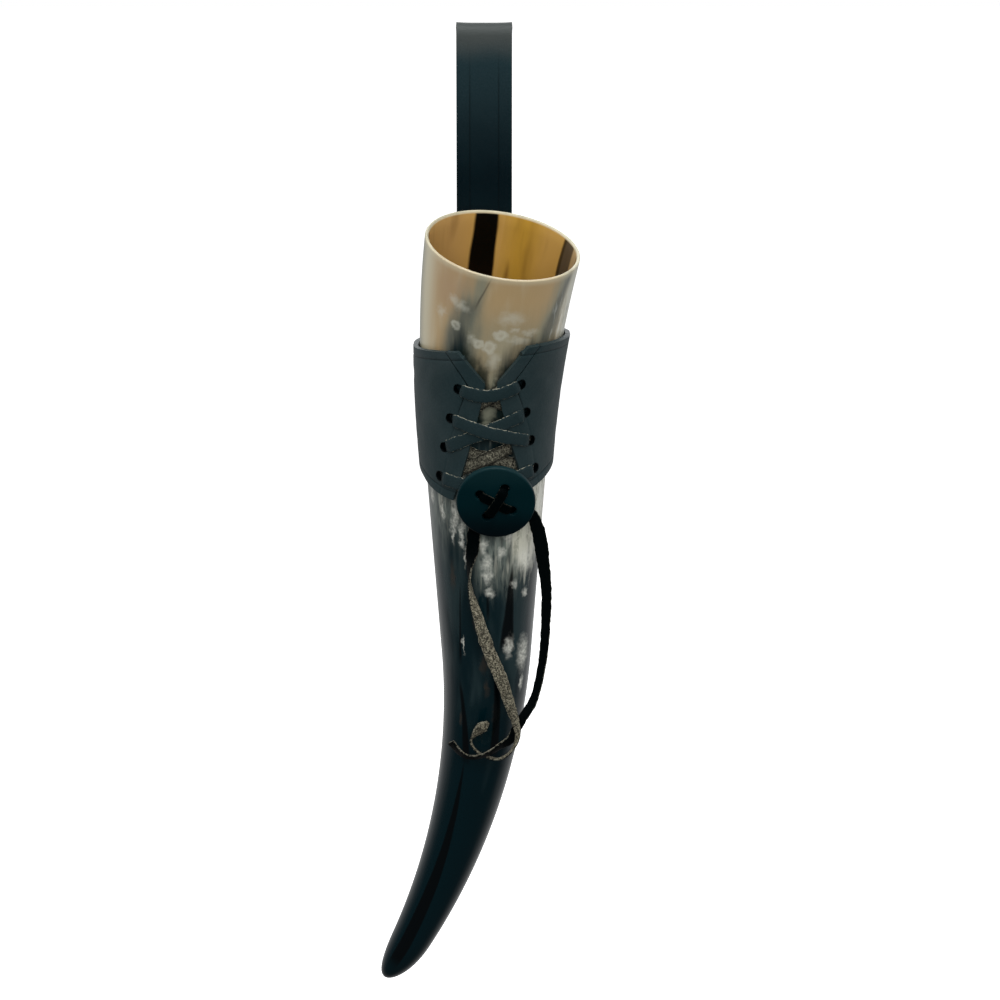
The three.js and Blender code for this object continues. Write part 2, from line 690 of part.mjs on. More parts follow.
function rivetPost(height) {
  const seat = rivetSeat(height);
  const head = [
    [0, seat - RIVET_CAP_THICKNESS],
    [RIVET_CAP_RADIUS / 2, seat - RIVET_CAP_THICKNESS],
    [RIVET_CAP_RADIUS, seat - RIVET_CAP_FLAT],
    [RIVET_CAP_RADIUS, seat],
    [RIVET_POST_RADIUS, seat],
    [RIVET_POST_RADIUS, strapBack],
    [0, strapBack],
  ];
  return turned(head, FACETS.rivet, (angle, radius, y) => rivetPlace(angle, radius, y, height));
}

function rivetCap(height) {
  const seat = strapBack + TOUCH_GAP;
  const cap = [
    [0, seat],
    [RIVET_CAP_RADIUS, seat],
    [RIVET_CAP_RADIUS, seat + RIVET_CAP_FLAT],
    [RIVET_CAP_RADIUS / 2, seat + RIVET_CAP_THICKNESS],
    [0, seat + RIVET_CAP_THICKNESS],
  ];
  return turned(cap, FACETS.rivet, (angle, radius, y) => rivetPlace(angle, radius, y, height));
}

function rivetPlace(angle, radius, y, height) {
  return new THREE.Vector3(radius * Math.sin(angle), y, height + radius * Math.cos(angle));
}

// Finishes
const finish = (color, roughness, metalness) => () =>
  new THREE.MeshStandardMaterial({ color, roughness, metalness });
const polishedHorn = finish(0x3a342c, 0.25, 0);
const blackLeather = finish(0x23282a, 0.6, 0);
const laceLeather = finish(0x1f2425, 0.75, 0);
const suede = finish(0x5d574d, 0.95, 0);
const brass = finish(0x8a7340, 0.35, 1);

// Assembly
function piece(name, geometry, material) {
  const mesh = new THREE.Mesh(geometry, material());
  mesh.name = name;
  return mesh;
}

const { upperRight, upperLeft, lowerLeft, lowerRight } = BUTTON_HOLES;
const cuffCutters = [
  openingCutter(),
  ...[...holes[LEFT], ...holes[RIGHT]].map(holeCutter),
  ...Object.values(RIVET_HEIGHTS).map(rivetHoleCutter),
];
const tailAim = (route) => onButton(new THREE.Vector3(...route[1]));
const leftTailAim = tailAim(LEFT_TAIL_ROUTE);
const rightTailAim = tailAim(RIGHT_TAIL_ROUTE);

const hornInHolder = new THREE.Group();
hornInHolder.position.y = -loopCentre;
hornInHolder.add(piece("horn", hornGeometry(), polishedHorn));
hornInHolder.add(piece("cuff", cut(cuffBand(), cuffCutters), blackLeather));
hornInHolder.add(piece("belt_strap", strapGeometry(), blackLeather));
for (const [place, height] of Object.entries(RIVET_HEIGHTS)) {
  hornInHolder.add(piece(`rivet_${place}_post`, rivetPost(height), brass));
  hornInHolder.add(piece(`rivet_${place}_cap`, rivetCap(height), brass));
}
hornInHolder.add(piece("cuff_lace", cuffLaceGeometry(), laceLeather));
hornInHolder.add(piece("lace_lead_left", leadGeometry(LEFT), laceLeather));
hornInHolder.add(piece("lace_lead_right", leadGeometry(RIGHT), laceLeather));
hornInHolder.add(piece("lace_button", buttonGeometry(), blackLeather));
const overStrand = buttonStrand(upperRight, leadAim(RIGHT), lowerLeft, leftTailAim, CROSSING_LIFT);
const underStrand = buttonStrand(upperLeft, leadAim(LEFT), lowerRight, rightTailAim, 0);
hornInHolder.add(piece("button_lace_over", overStrand, laceLeather));
hornInHolder.add(piece("button_lace_under", underStrand, laceLeather));
hornInHolder.add(piece("lace_tail_left", tailGeometry(LEFT_TAIL_ROUTE), suede));
hornInHolder.add(piece("lace_tail_right", tailGeometry(RIGHT_TAIL_ROUTE), laceLeather));

const drinkingHorn = new THREE.Group();
drinkingHorn.add(hornInHolder);

export default drinkingHorn;
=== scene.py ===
"""Looks of a drinking horn in its laced leather belt holder.

Metres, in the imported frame: +Z up, the laced front faces -Y.
The origin is the top of the belt loop's inside.
"""

import logging
import math
from dataclasses import dataclass
from enum import Enum
from typing import Callable, Iterable, Optional, Sequence, Union

import bmesh
import bpy
from mathutils import Color, Matrix, Vector, noise


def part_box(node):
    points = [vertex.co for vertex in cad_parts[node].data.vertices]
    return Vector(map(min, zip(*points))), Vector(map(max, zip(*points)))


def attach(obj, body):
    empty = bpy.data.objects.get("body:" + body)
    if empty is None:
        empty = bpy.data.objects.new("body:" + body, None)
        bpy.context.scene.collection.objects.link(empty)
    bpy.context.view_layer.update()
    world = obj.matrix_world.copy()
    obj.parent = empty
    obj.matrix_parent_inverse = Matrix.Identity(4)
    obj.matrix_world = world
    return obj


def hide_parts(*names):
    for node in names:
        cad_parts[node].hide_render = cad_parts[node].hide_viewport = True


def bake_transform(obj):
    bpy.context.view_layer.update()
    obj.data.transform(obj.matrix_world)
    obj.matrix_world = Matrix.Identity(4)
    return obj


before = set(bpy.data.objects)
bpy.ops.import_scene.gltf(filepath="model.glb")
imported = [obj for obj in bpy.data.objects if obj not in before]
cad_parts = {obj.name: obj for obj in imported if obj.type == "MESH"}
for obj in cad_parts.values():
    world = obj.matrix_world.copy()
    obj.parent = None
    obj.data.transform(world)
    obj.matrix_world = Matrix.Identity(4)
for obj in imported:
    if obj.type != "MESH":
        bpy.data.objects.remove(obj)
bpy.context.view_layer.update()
LOG = logging.getLogger("drinking_horn")

Colour = tuple[float, float, float]
Input = Union["Value", float, tuple, None]
FULL_TURN = 2 * math.pi
HALVINGS = 26
BRIGHTEST = 255
MERGE_DISTANCE = 1e-7
NOISE_MIDDLE = 0.5
MILLIMETRES = 1000
CUT_EDGE_ANGLE = math.radians(50)
HOLE_REACH = 2.0
HOLE_RING_REACH = 1.6
HOLE_EASING = 0.4


def colour(red: int, green: int, blue: int) -> Colour:
    """A colour as a screen shows it, from 0 to 255, turned into linear light."""
    shown = Color((red / BRIGHTEST, green / BRIGHTEST, blue / BRIGHTEST))
    return tuple(shown.from_srgb_to_scene_linear())


def mix(low: float, high: float, share: float) -> float:
    """A number between two others."""
    return low + (high - low) * share


def clamp(number: float, low: float = 0.0, high: float = 1.0) -> float:
    """A number kept between two limits."""
    return max(low, min(high, number))


def ease(share: float) -> float:
    """A share from 0 to 1 that starts and ends gently."""
    kept = clamp(share)
    return kept * kept * (3 - 2 * kept)


def bisect(low: float, high: float, beyond: Callable[[float], bool]) -> float:
    """The number between two limits where a test turns true.

    Args:
        low: A number where the test is false.
        high: A number where the test is true.
        beyond: The test.

    Returns:
        The number where the test changes.
    """
    for _ in range(HALVINGS):
        middle = (low + high) / 2
        if beyond(middle):
            high = middle
        else:
            low = middle
    return (low + high) / 2


class Side(Enum):
    """A side of the laced opening, as a sign along X."""

    LEFT = -1
    RIGHT = 1


class Value:
    """A shader socket that takes part in Python arithmetic, where each operation adds a Math node."""

    def __init__(self, nodes: "Nodes", socket: bpy.types.NodeSocket) -> None:
        """Wraps a socket of a tree."""
        self.nodes = nodes
        self.socket = socket

    def maths(self, operation: str, *others: Input) -> "Value":
        """This value put through a Math node."""
        return self.nodes.maths(operation, self, *others)

    def __add__(self, other: Input) -> "Value":
        """Sum."""
        return self.maths("ADD", other)

    __radd__ = __add__

    def __sub__(self, other: Input) -> "Value":
        """Difference."""
        return self.maths("SUBTRACT", other)

    def __rsub__(self, other: Input) -> "Value":
        """Difference from a number."""
        return self.nodes.maths("SUBTRACT", other, self)

    def __mul__(self, other: Input) -> "Value":
        """Product."""
        return self.maths("MULTIPLY", other)

    __rmul__ = __mul__

    def __truediv__(self, other: Input) -> "Value":
        """Quotient."""
        return self.maths("DIVIDE", other)

    def __abs__(self) -> "Value":
        """Size without sign."""
        return self.maths("ABSOLUTE")

    def least(self, other: Input) -> "Value":
        """The smaller of two values."""
        return self.maths("MINIMUM", other)

    def most(self, other: Input) -> "Value":
        """The larger of two values."""
        return self.maths("MAXIMUM", other)

    def shift(self, reach: float) -> "Value":
        """This noise as a shift to either side, over a reach."""
        return (self - NOISE_MIDDLE) * reach

    def step(self, start: Input, end: Input) -> "Value":
        """A smooth step from 0 at start to 1 at end, which may run downwards."""
        settings = {"interpolation_type": "SMOOTHSTEP"}
        return self.nodes.node("ShaderNodeMapRange", settings, {0: self, 1: start, 2: end})


class Nodes:
    """Adds nodes to one tree, which starts empty."""

    def __init__(self, tree: bpy.types.NodeTree) -> None:
        """Empties the tree."""
        self.tree = tree
        tree.nodes.clear()

    def node(self, kind: str, settings: Optional[dict] = None, inputs: Optional[dict] = None,
             output: Union[int, str] = 0) -> Value:
        """Adds a node.

        Args:
            kind: The node's type.
            settings: Its properties, which are set first.
            inputs: Values or links by socket name or number.
            output: The socket that is handed back.

        Returns:
            The chosen output.
        """
        made = self.tree.nodes.new(kind)
        for name, setting in (settings or {}).items():
            setattr(made, name, setting)
        for key, given in (inputs or {}).items():
            if isinstance(given, Value):
                self.tree.links.new(given.socket, made.inputs[key])
            elif given is not None:
                made.inputs[key].default_value = given
        return Value(self, made.outputs[output])

    def maths(self, operation: str, *values: Input) -> Value:
        """A Math node on values or numbers."""
        return self.node("ShaderNodeMath", {"operation": operation}, dict(enumerate(values)))

    def close(self, kind: str, shader: Value) -> None:
        """Links a shader to a new output node."""
        output = self.tree.nodes.new(kind)
        self.tree.links.new(shader.socket, output.inputs["Surface"])


class Paint(Nodes):
    """Builds the nodes of one material."""

    mix_inputs = (6, 7)
    mix_output = 2

    def __init__(self, name: str) -> None:
        """Starts an empty material.

        Args:
            name: The material's name.
        """
        self.material = bpy.data.materials.new(name)
        self.material.use_nodes = True
        super().__init__(self.material.node_tree)

    def vector_maths(self, operation: str, *values: Input, output: int = 0) -> Value:
        """A Vector Math node on vectors."""
        return self.node("ShaderNodeVectorMath", {"operation": operation}, dict(enumerate(values)), output)

    def attribute(self, name: str) -> Value:
        """A vector that the mesh carries."""
        return self.node("ShaderNodeAttribute", {"attribute_name": name}, output="Vector")

    def place(self) -> Value:
        """The place on the object, in metres."""
        return self.node("ShaderNodeTexCoord", output="Object")

    def parts(self, vector: Value) -> tuple[Value, Value, Value]:
        """A vector's three numbers."""
        x = self.node("ShaderNodeSeparateXYZ", inputs={0: vector}, output=0)
        return x, Value(self, x.socket.node.outputs[1]), Value(self, x.socket.node.outputs[2])

    def joined(self, x: Input, y: Input, z: Input) -> Value:
        """A vector from three numbers."""
        return self.node("ShaderNodeCombineXYZ", inputs={0: x, 1: y, 2: z})

    def scaled(self, vector: Value, x: float, y: float, z: float) -> Value:
        """A vector with each of its numbers multiplied."""
        return self.vector_maths("MULTIPLY", vector, (x, y, z))

    def grain(self, vector: Value, scale: float, detail: float = 2.0, rough: float = 0.5,
              bend: float = 0.0) -> Value:
        """Noise from 0 to 1.

        Args:
            vector: Where it is read.
            scale: Features per metre of the vector.
            detail: Number of finer layers.
            rough: Strength of the finer layers.
            bend: How much the noise swirls.

        Returns:
            The noise.
        """
        inputs = {"Vector": vector, "Scale": scale, "Detail": detail, "Roughness": rough, "Distortion": bend}
        return self.node("ShaderNodeTexNoise", inputs=inputs)

    def cells(self, vector: Value, scale: float) -> Value:
        """Distance to the nearest of scattered points."""
        return self.node("ShaderNodeTexVoronoi", inputs={"Vector": vector, "Scale": scale})

    def blend(self, first: Input, second: Input, share: Input) -> Value:
        """One colour over another.

        Args:
            first: The colour below.
            second: The colour on top.
            share: How much of the top one shows.

        Returns:
            The mixed colour.
        """
        inputs = {0: share}
        for key, given in zip(self.mix_inputs, (first, second)):
            inputs[key] = given if isinstance(given, Value) else (*given, 1)
        return self.node("ShaderNodeMix", {"data_type": "RGBA"}, inputs, self.mix_output)

    def bump(self, height: Value, depth: float, strength: float = 1.0,
             under: Optional[Value] = None) -> Value:
        """A normal that follows a height.

        Args:
            height: The height, where 1 is the full depth.
            depth: The full depth in metres.
            strength: How much of it shows.
            under: A bump that this one lies on.

        Returns:
            The normal.
        """
        inputs = {"Height": height, "Distance": depth, "Strength": strength, "Normal": under}
        return self.node("ShaderNodeBump", inputs=inputs)

    def finish(self, **sockets: Input) -> bpy.types.Material:
        """Closes the material with a Principled shader.

        Args:
            sockets: Its sockets, with underscores for the spaces in their names.

        Returns:
            The finished material.
        """
        inputs = {name.replace("_", " "): given for name, given in sockets.items()}
        for name in ("Base Color", "Emission Color"):
            if isinstance(inputs.get(name), tuple):
                inputs[name] = (*inputs[name], 1)
        self.close("ShaderNodeOutputMaterial", self.node("ShaderNodeBsdfPrincipled", inputs=inputs))
        return self.material


def face_out(made: bmesh.types.BMesh) -> None:
    """Turns all faces of a closed mesh outwards.

    Args:
        made: The mesh.
    """
    bmesh.ops.recalc_face_normals(made, faces=made.faces)
    if made.calc_volume(signed=True) < 0:
        bmesh.ops.reverse_faces(made, faces=made.faces)


def turned(profile: Sequence[tuple[float, float]], steps: int) -> bmesh.types.BMesh:
    """Turns a profile about +Z.

    Args:
        profile: Radius and length of each point, from axis to axis or closed on itself.
        steps: Facets around.

    Returns:
        The closed mesh, facing out.
    """
    made = bmesh.new()
    points = [made.verts.new((radius, 0, length)) for radius, length in profile]
    edges = [made.edges.new(pair) for pair in zip(points, points[1:])]
    bmesh.ops.spin(
        made, geom=points + edges, axis=(0, 0, 1), angle=FULL_TURN, steps=steps, use_merge=True
    )
    bmesh.ops.remove_doubles(made, verts=made.verts, dist=MERGE_DISTANCE)
    face_out(made)
    return made


def tube(sides: int, steps: int) -> bmesh.types.BMesh:
    """A closed tube of radius 1 along +Z, with a ring at each whole number.

    Args:
        sides: Facets around.
        steps: Lengths between rings.

    Returns:
        The mesh, facing out.
    """
    made = bmesh.new()
    ring = bmesh.ops.create_circle(made, segments=sides, radius=1)["verts"]
    bmesh.ops.spin(
        made, geom=ring + list(made.edges), axis=(0, 0, 1), dvec=(0, 0, 1), angle=0, steps=steps
    )
    bmesh.ops.edgeloop_fill(made, edges=[edge for edge in made.edges if edge.is_boundary])
    face_out(made)
    return made


def sheet(columns: int, rows: int) -> bmesh.types.BMesh:
    """A flat grid whose points have whole numbers for X and Y, from 0.

    Args:
        columns: Faces along X.
        rows: Faces along Y.

    Returns:
        The mesh, facing +Z.
    """
    made = bmesh.new()
    bmesh.ops.create_grid(made, x_segments=columns, y_segments=rows, size=0.5)
    bmesh.ops.translate(made, verts=made.verts, vec=(0.5, 0.5, 0))
    bmesh.ops.scale(made, verts=made.verts, vec=(columns, rows, 1))
    return made


def carry(made: bmesh.types.BMesh, move: Callable[[Vector], Vector], keep: str = "") -> None:
    """Moves every point to its place.

    Args:
        made: The mesh.
        move: Gives a point's new place.
        keep: A name under which the mesh keeps where each point was.
    """
    layer = made.verts.layers.float_vector.new(keep) if keep else None
    for vert in made.verts:
        if layer:
            vert[layer] = vert.co
        vert.co = move(vert.co.copy())


def punch(made: bmesh.types.BMesh, centre: Vector, along: Vector, radius: float) -> None:
    """Opens a round hole in a sheet, whose edge is marked in what the sheet keeps of its grid.

    Args:
        made: The sheet.
        centre: The hole's middle, on the sheet.
        along: The direction through the hole.
        radius: The hole's radius.
    """
    def aside(point: Vector) -> Vector:
        """The way from the hole's axis to a point."""
        away = point - centre
        return away - along * away.dot(along)

    reach = HOLE_REACH * radius
    near = [face for face in made.faces if (face.calc_center_median() - centre).length < reach]
    inside = [face for face in near if aside(face.calc_center_median()).length < radius]
    around = {vert for face in near for vert in face.verts}
    bmesh.ops.delete(made, geom=inside, context="FACES")
    edge = [vert for vert in around if vert.is_valid and vert.is_boundary]
    ring = [vert for vert in edge if aside(vert.co).length < HOLE_RING_REACH * radius]
    layer = made.verts.layers.float_vector["sheet"]
    for vert in ring:
        away = aside(vert.co)
        vert.co += away.normalized() * (radius - away.length)
        vert[layer] = Vector((*vert[layer].xy, 1))
    rest = [vert for vert in around if vert.is_valid and not vert.is_boundary]
    axes = {"use_axis_x": True, "use_axis_y": True, "use_axis_z": True}
    bmesh.ops.smooth_vert(made, verts=rest, factor=HOLE_EASING, **axes)


def placed(name: str, data: bpy.types.ID) -> bpy.types.Object:
    """Puts a new object into the scene.

    Args:
        name: The object's name.
        data: Its mesh, light or camera.

    Returns:
        The object.
    """
    thing = bpy.data.objects.new(name, data)
    bpy.context.scene.collection.objects.link(thing)
    return thing


@dataclass(frozen=True)
class Piece:
    """What a finished mesh is: its name, the body that it rides on and its slot."""

    name: str
    body: str
    slot: str
    stands_for: tuple[str, ...] = ()
    sharp: float = 40.0

    def mesh(self, made: bmesh.types.BMesh, *materials: bpy.types.Material) -> bpy.types.Object:
        """Makes the object, with no body yet.

        Args:
            made: Its mesh, which is freed.
            materials: Its materials, in the order of the faces' numbers.

        Returns:
            The new object.
        """
        data = bpy.data.meshes.new(self.name)
        made.to_mesh(data)
        made.free()
        data.shade_smooth()
        data.set_sharp_from_angle(angle=math.radians(self.sharp))
        for material in materials:
            data.materials.append(material)
        thing = placed(self.name, data)
        if self.stands_for:
            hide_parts(*self.stands_for)
        LOG.info("%s: %d faces on %s", self.name, len(data.polygons), self.body)
        return thing

    def put(self, made: bmesh.types.BMesh, *materials: bpy.types.Material) -> bpy.types.Object:
        """Makes the object and lets it ride on its body."""
        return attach(self.mesh(made, *materials), self.body)


def thicken(thing: bpy.types.Object, thickness: float, rounding: float, segments: int = 3) -> None:
    """Gives a sheet its thickness, away from its facing side, and rounds its cut edges.

    Args:
        thing: The sheet.
        thickness: How thick it gets.
        rounding: Radius of the cut edges.
        segments: Facets of the rounding.
    """
    solid = thing.modifiers.new("thickness", "SOLIDIFY")
    solid.thickness = thickness
    solid.offset = -1
    solid.use_even_offset = True
    edge = thing.modifiers.new("rounding", "BEVEL")
    edge.width = rounding
    edge.segments = segments
    edge.limit_method = "ANGLE"
    edge.angle_limit = CUT_EDGE_ANGLE
    shading = thing.modifiers.new("shading", "WEIGHTED_NORMAL")
    shading.keep_sharp = False


def rivet_heights() -> list[float]:
    """The heights of the two rivets' middles."""
    boxes = [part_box(name) for name in ("rivet_upper_cap", "rivet_lower_cap")]
    return [(low.z + high.z) / 2 for low, high in boxes]


@dataclass(frozen=True)
class HornForm:
    """The horn's curved axis and taper: lengths run along the axis from the mouth, turns are in degrees."""

    length: float = 0.356
    axis_x: float = 0.0009
    axis_y: float = -0.03889
    mouth_height: float = -0.0903
    mouth_radius: float = 0.0344
    draw_in: float = 0.0007
    draw_length: float = 0.025
    tip_radius: float = 0.0074
    tip_rounding: float = 0.024
    tip_bluntness: float = 2.5
    mouth_lean: float = 9.5
    lean_length: float = 0.093
    mouth_nod: float = 18.0
    nod_length: float = 0.107
    sweep_start: float = 0.188
    tip_sweep: float = 32.4
    rim_wall: float = 0.0022
    hollow_depth: float = 0.245
    hollow_rounding: float = 0.022
    wall_growth: float = 0.005
    axis_steps: int = 712

    def direction(self, station: float) -> Vector:
        """The axis direction at a station.

        Args:
            station: Length along the axis.

        Returns:
            A unit vector towards the tip.
        """
        lean = math.radians(self.mouth_lean) * clamp(1 - station / self.lean_length)
        swept = clamp((station - self.sweep_start) / (self.length - self.sweep_start))
        side = lean + math.radians(self.tip_sweep) * swept
        nod = math.radians(self.mouth_nod) * clamp(1 - station / self.nod_length)
        return Vector((-math.sin(side) * math.cos(nod), math.sin(nod), -math.cos(side) * math.cos(nod)))

    def centres(self) -> list[Vector]:
        """The axis as points at even steps, worked out once.

        Returns:
            The points.
        """
        known = AXES.get(self)
        if known is None:
            step = self.length / self.axis_steps
            known = [Vector()]
            for number in range(self.axis_steps):
                known.append(known[-1] + self.direction((number + 0.5) * step) * step)
            bent = max(self.lean_length, self.nod_length)
            straight = known[round(bent / step)]
            shift = Vector((self.axis_x - straight.x, self.axis_y - straight.y, self.mouth_height))
            known = [point + shift for point in known]
            AXES[self] = known
        return known

    def centre(self, station: float) -> Vector:
        """A point of the axis.

        Args:
            station: Length along the axis.

        Returns:
            The point.
        """
        place = clamp(station / self.length) * self.axis_steps
        first = min(int(place), self.axis_steps - 1)
        known = self.centres()
        return known[first].lerp(known[first + 1], place - first)

    def outward(self, angle: float, station: float) -> Vector:
        """The direction away from the axis, at an angle from the front.

        Args:
            angle: Turn from the front.
            station: Length along the axis.

        Returns:
            A unit vector.
        """
        along = self.direction(station)
        side = along.cross(Vector((0, 1, 0))).normalized()
        front = along.cross(side)
        return front * math.cos(angle) + side * math.sin(angle)

    def around(self, angle: float, station: float, radius: float) -> Vector:
        """A point at an angle from the front, a station and a distance from the axis."""
        return self.centre(station) + self.outward(angle, station) * radius

    def radius(self, station: float) -> float:
        """The outside radius at a station.

        Args:
            station: Length along the axis.

        Returns:
            The radius.
        """
        drawn = self.draw_in * (1 - math.exp(-station / self.draw_length))
        taper = (self.mouth_radius + self.draw_in - self.tip_radius) / self.length
        ending = clamp((station - self.length + self.tip_rounding) / self.tip_rounding)
        return (self.mouth_radius + drawn - taper * station) * math.sqrt(1 - ending ** self.tip_bluntness)

    def hollow_radius(self, station: float) -> float:
        """The inside radius at a station.

        Args:
            station: Length along the axis.

        Returns:
            The radius.
        """
        wall = self.rim_wall + self.wall_growth * (station / self.hollow_depth) ** 2
        ending = clamp((station - self.hollow_depth + self.hollow_rounding) / self.hollow_rounding)
        return (self.radius(station) - wall) * math.sqrt(1 - ending ** 2)

    def off(self, angle: float, station: float, distance: float) -> Vector:
        """A point a distance off the horn's outside."""
        return self.around(angle, station, self.radius(station) + distance)

    def station_at(self, angle: float, distance: float, height: float) -> float:
        """The station where the surface at a distance off the horn comes down to a height."""
        return bisect(0, self.length, lambda station: self.off(angle, station, distance).z < height)


AXES: dict[HornForm, list[Vector]] = {}
HORN = HornForm()


@dataclass(frozen=True)
class CuffForm:
    """The leather cuff: clearances to the horn, heights of its edges, and the laced opening at its front."""

    thickness: float = 0.0022
    side_clearance: float = 0.0005
    front_clearance: float = 0.0036
    back_clearance: float = 0.0032
    top: float = -0.1333
    bottom: float = -0.19
    dip: float = 0.008
    point: float = 0.005
    roll: float = 0.0026
    opening_x: float = 0.0032
    notch_half: float = 0.0155
    notch_depth: float = 0.015
    throat_half: float = 0.0026
    foot_half: float = 0.0172
    edge_bend: float = 1.2
    hole_rows: int = 4
    hole_radius: float = 0.0022
    hole_top: float = -0.15
    hole_pitch: float = 0.0134
    hole_centre: float = 1.4
    hole_first: float = 22.0
    hole_step: float = 6.3

    def clearance(self, angle: float) -> float:
        """Gap between the horn and the cuff.

        Args:
            angle: Turn from the front.

        Returns:
            The gap.
        """
        facing = math.cos(angle)
        most = self.front_clearance if facing > 0 else self.back_clearance
        return mix(self.side_clearance, most, abs(facing))

    def outside(self, angle: float) -> float:
        """Distance from the horn to the cuff's outer face."""
        return self.clearance(angle) + self.thickness

    def top_height(self, angle: float) -> float:
        """Height of the top edge."""
        return self.top + self.roll * math.sin(angle)

    def bottom_height(self, angle: float) -> float:
        """Height of the bottom edge."""
        facing = math.cos(angle)
        return self.bottom - self.dip * facing - self.point * facing ** 2 + self.roll * math.sin(angle)

    def edge_x(self, height: float, side: Side) -> float:
        """Where the laced opening's edge lies across, at a height.

        Args:
            height: Height in the frame.
            side: Which of the two edges.

        Returns:
            The place along X.
        """
        throat = self.top - self.notch_depth
        foot = self.bottom - self.dip - self.point
        if height > throat:
            half = mix(self.throat_half, self.notch_half, (height - throat) / self.notch_depth)
        else:
            share = (throat - height) / (throat - foot)
            half = mix(self.throat_half, self.foot_half, share ** self.edge_bend)
        return self.opening_x + side.value * half

    def hole(self, row: int, side: Side) -> tuple[float, float]:
        """Angle and station of a lace hole.

        Args:
            row: Row from the top, from 0.
            side: Which side of the opening.

        Returns:
            The angle and the station.
        """
        angle = math.radians(self.hole_centre + side.value * (self.hole_first + row * self.hole_step))
        height = self.hole_top - row * self.hole_pitch + self.roll * math.sin(angle)
        return angle, HORN.station_at(angle, self.outside(angle), height)


CUFF = CuffForm()


@dataclass(frozen=True)
class Mark:
    """A spot in the horn: degrees from the front, millimetres from the mouth, half sizes in millimetres."""

    angle: float
    station: float
    wide: float
    tall: float


@dataclass(frozen=True)
class Streak:
    """A band in the horn between two places, with its half width at each, in degrees and millimetres."""

    start: tuple[float, float]
    end: tuple[float, float]
    half_start: float
    half_end: float


@dataclass(frozen=True)
class Band:
    """A coloured streak: its soft edge and its wander in degrees, its least strength and what grain adds."""

    shade: Colour
    streak: Streak
    soft: float
    ragged: float
    least: float = 1.0
    gain: float = 0.0


class HornPattern:
    """The horn's growth pattern, read in degrees around it and millimetres along it."""

    nominal_radius = 28.0
    streak_fade = 4.0

    def __init__(self, name: str) -> None:
        """Starts the material and reads where the horn is straightened out.

        Args:
            name: The material's name.
        """
        self.paint = Paint(name)
        self.grown = self.paint.attribute("grain")
        x, y, z = self.paint.parts(self.grown)
        self.angle = self.paint.maths("ARCTAN2", y, x) * math.degrees(1)
        self.station = z * MILLIMETRES
        self.fine = self.fibre(scale=520, stretch=0.06, detail=3)
        self.broad = self.fibre(scale=110, stretch=0.22, detail=2)
        self.streaks = self.fibre(scale=430, stretch=0.2, detail=3)
        self.speckle = self.paint.grain(self.grown, scale=800, detail=2, rough=0.5)

    def fibre(self, scale: float, stretch: float, detail: float) -> Value:
        """Noise drawn out along the horn.

        Args:
            scale: Features per metre across.
            stretch: Share of that scale along the horn.
            detail: Number of finer layers.

        Returns:
            Noise from 0 to 1.
        """
        drawn = self.paint.scaled(self.grown, 1, 1, stretch)
        return self.paint.grain(drawn, scale, detail, rough=0.55)

    def window(self, low: float, high: float, soft: float) -> Value:
        """A mask over a range of angles, with soft ends."""
        return self.angle.step(low - soft, low + soft) * self.angle.step(high + soft, high - soft)

    def along(self, low: float, high: float, soft: float) -> Value:
        """A mask over a range of stations, with soft ends."""
        return self.station.step(low - soft, low + soft) * self.station.step(high + soft, high - soft)

    def spots(self, marks: Iterable[Mark], ragged: float = 1.5) -> Value:
        """How deep a place lies in the nearest spot: 1 at its middle, 0 at its edge, less outside.

        Args:
            marks: The spots.
            ragged: How far their edges wander, in millimetres.

        Returns:
            The depth.
        """
        arc = self.angle * math.radians(self.nominal_radius)
        wander = {"Vector": self.grown, "Scale": 330, "Detail": 3}
        bend = self.paint.node("ShaderNodeTexNoise", inputs=wander, output="Color")
        bend = self.paint.vector_maths("SUBTRACT", bend, (NOISE_MIDDLE, NOISE_MIDDLE, NOISE_MIDDLE))
        place = self.paint.joined(arc, self.station, 0.0)
        place = self.paint.vector_maths("ADD", place, self.paint.scaled(bend, ragged * 2, ragged * 2, 0))
        best = None
        for mark in marks:
            middle = (math.radians(mark.angle) * self.nominal_radius, mark.station, 0)
            away = self.paint.vector_maths("SUBTRACT", place, middle)
            share = self.paint.scaled(away, 1 / mark.wide, 1 / mark.tall, 0)
            depth = 1 - self.paint.vector_maths("LENGTH", share, output=1)
            best = depth if best is None else best.most(depth)
        return best

    def streak(self, streak: Streak, soft: float, ragged: float) -> Value:
        """A mask over a slanting band.

        Args:
            streak: The band.
            soft: Width of its soft edge in degrees.
            ragged: How far its edges wander, in degrees.

        Returns:
            The mask.
        """
        (first, low), (last, high) = streak.start, streak.end
        share = (self.station - low) / (high - low)
        middle = share * (last - first) + first
        half = share * (streak.half_end - streak.half_start) + streak.half_start
        away = abs(self.angle - middle + self.broad.shift(ragged))
        return away.step(half + soft, half - soft) * self.along(low, high, self.streak_fade)

    def banded(self, base: Value, band: Band) -> Value:
        """Lays a coloured streak over a colour.

        Args:
            base: The colour below.
            band: The streak and its looks.

        Returns:
            The new colour.
        """
        mask = self.streak(band.streak, band.soft, band.ragged)
        strength = self.streaks * band.gain + band.least if band.gain else band.least
        return self.paint.blend(base, band.shade, mask * strength)


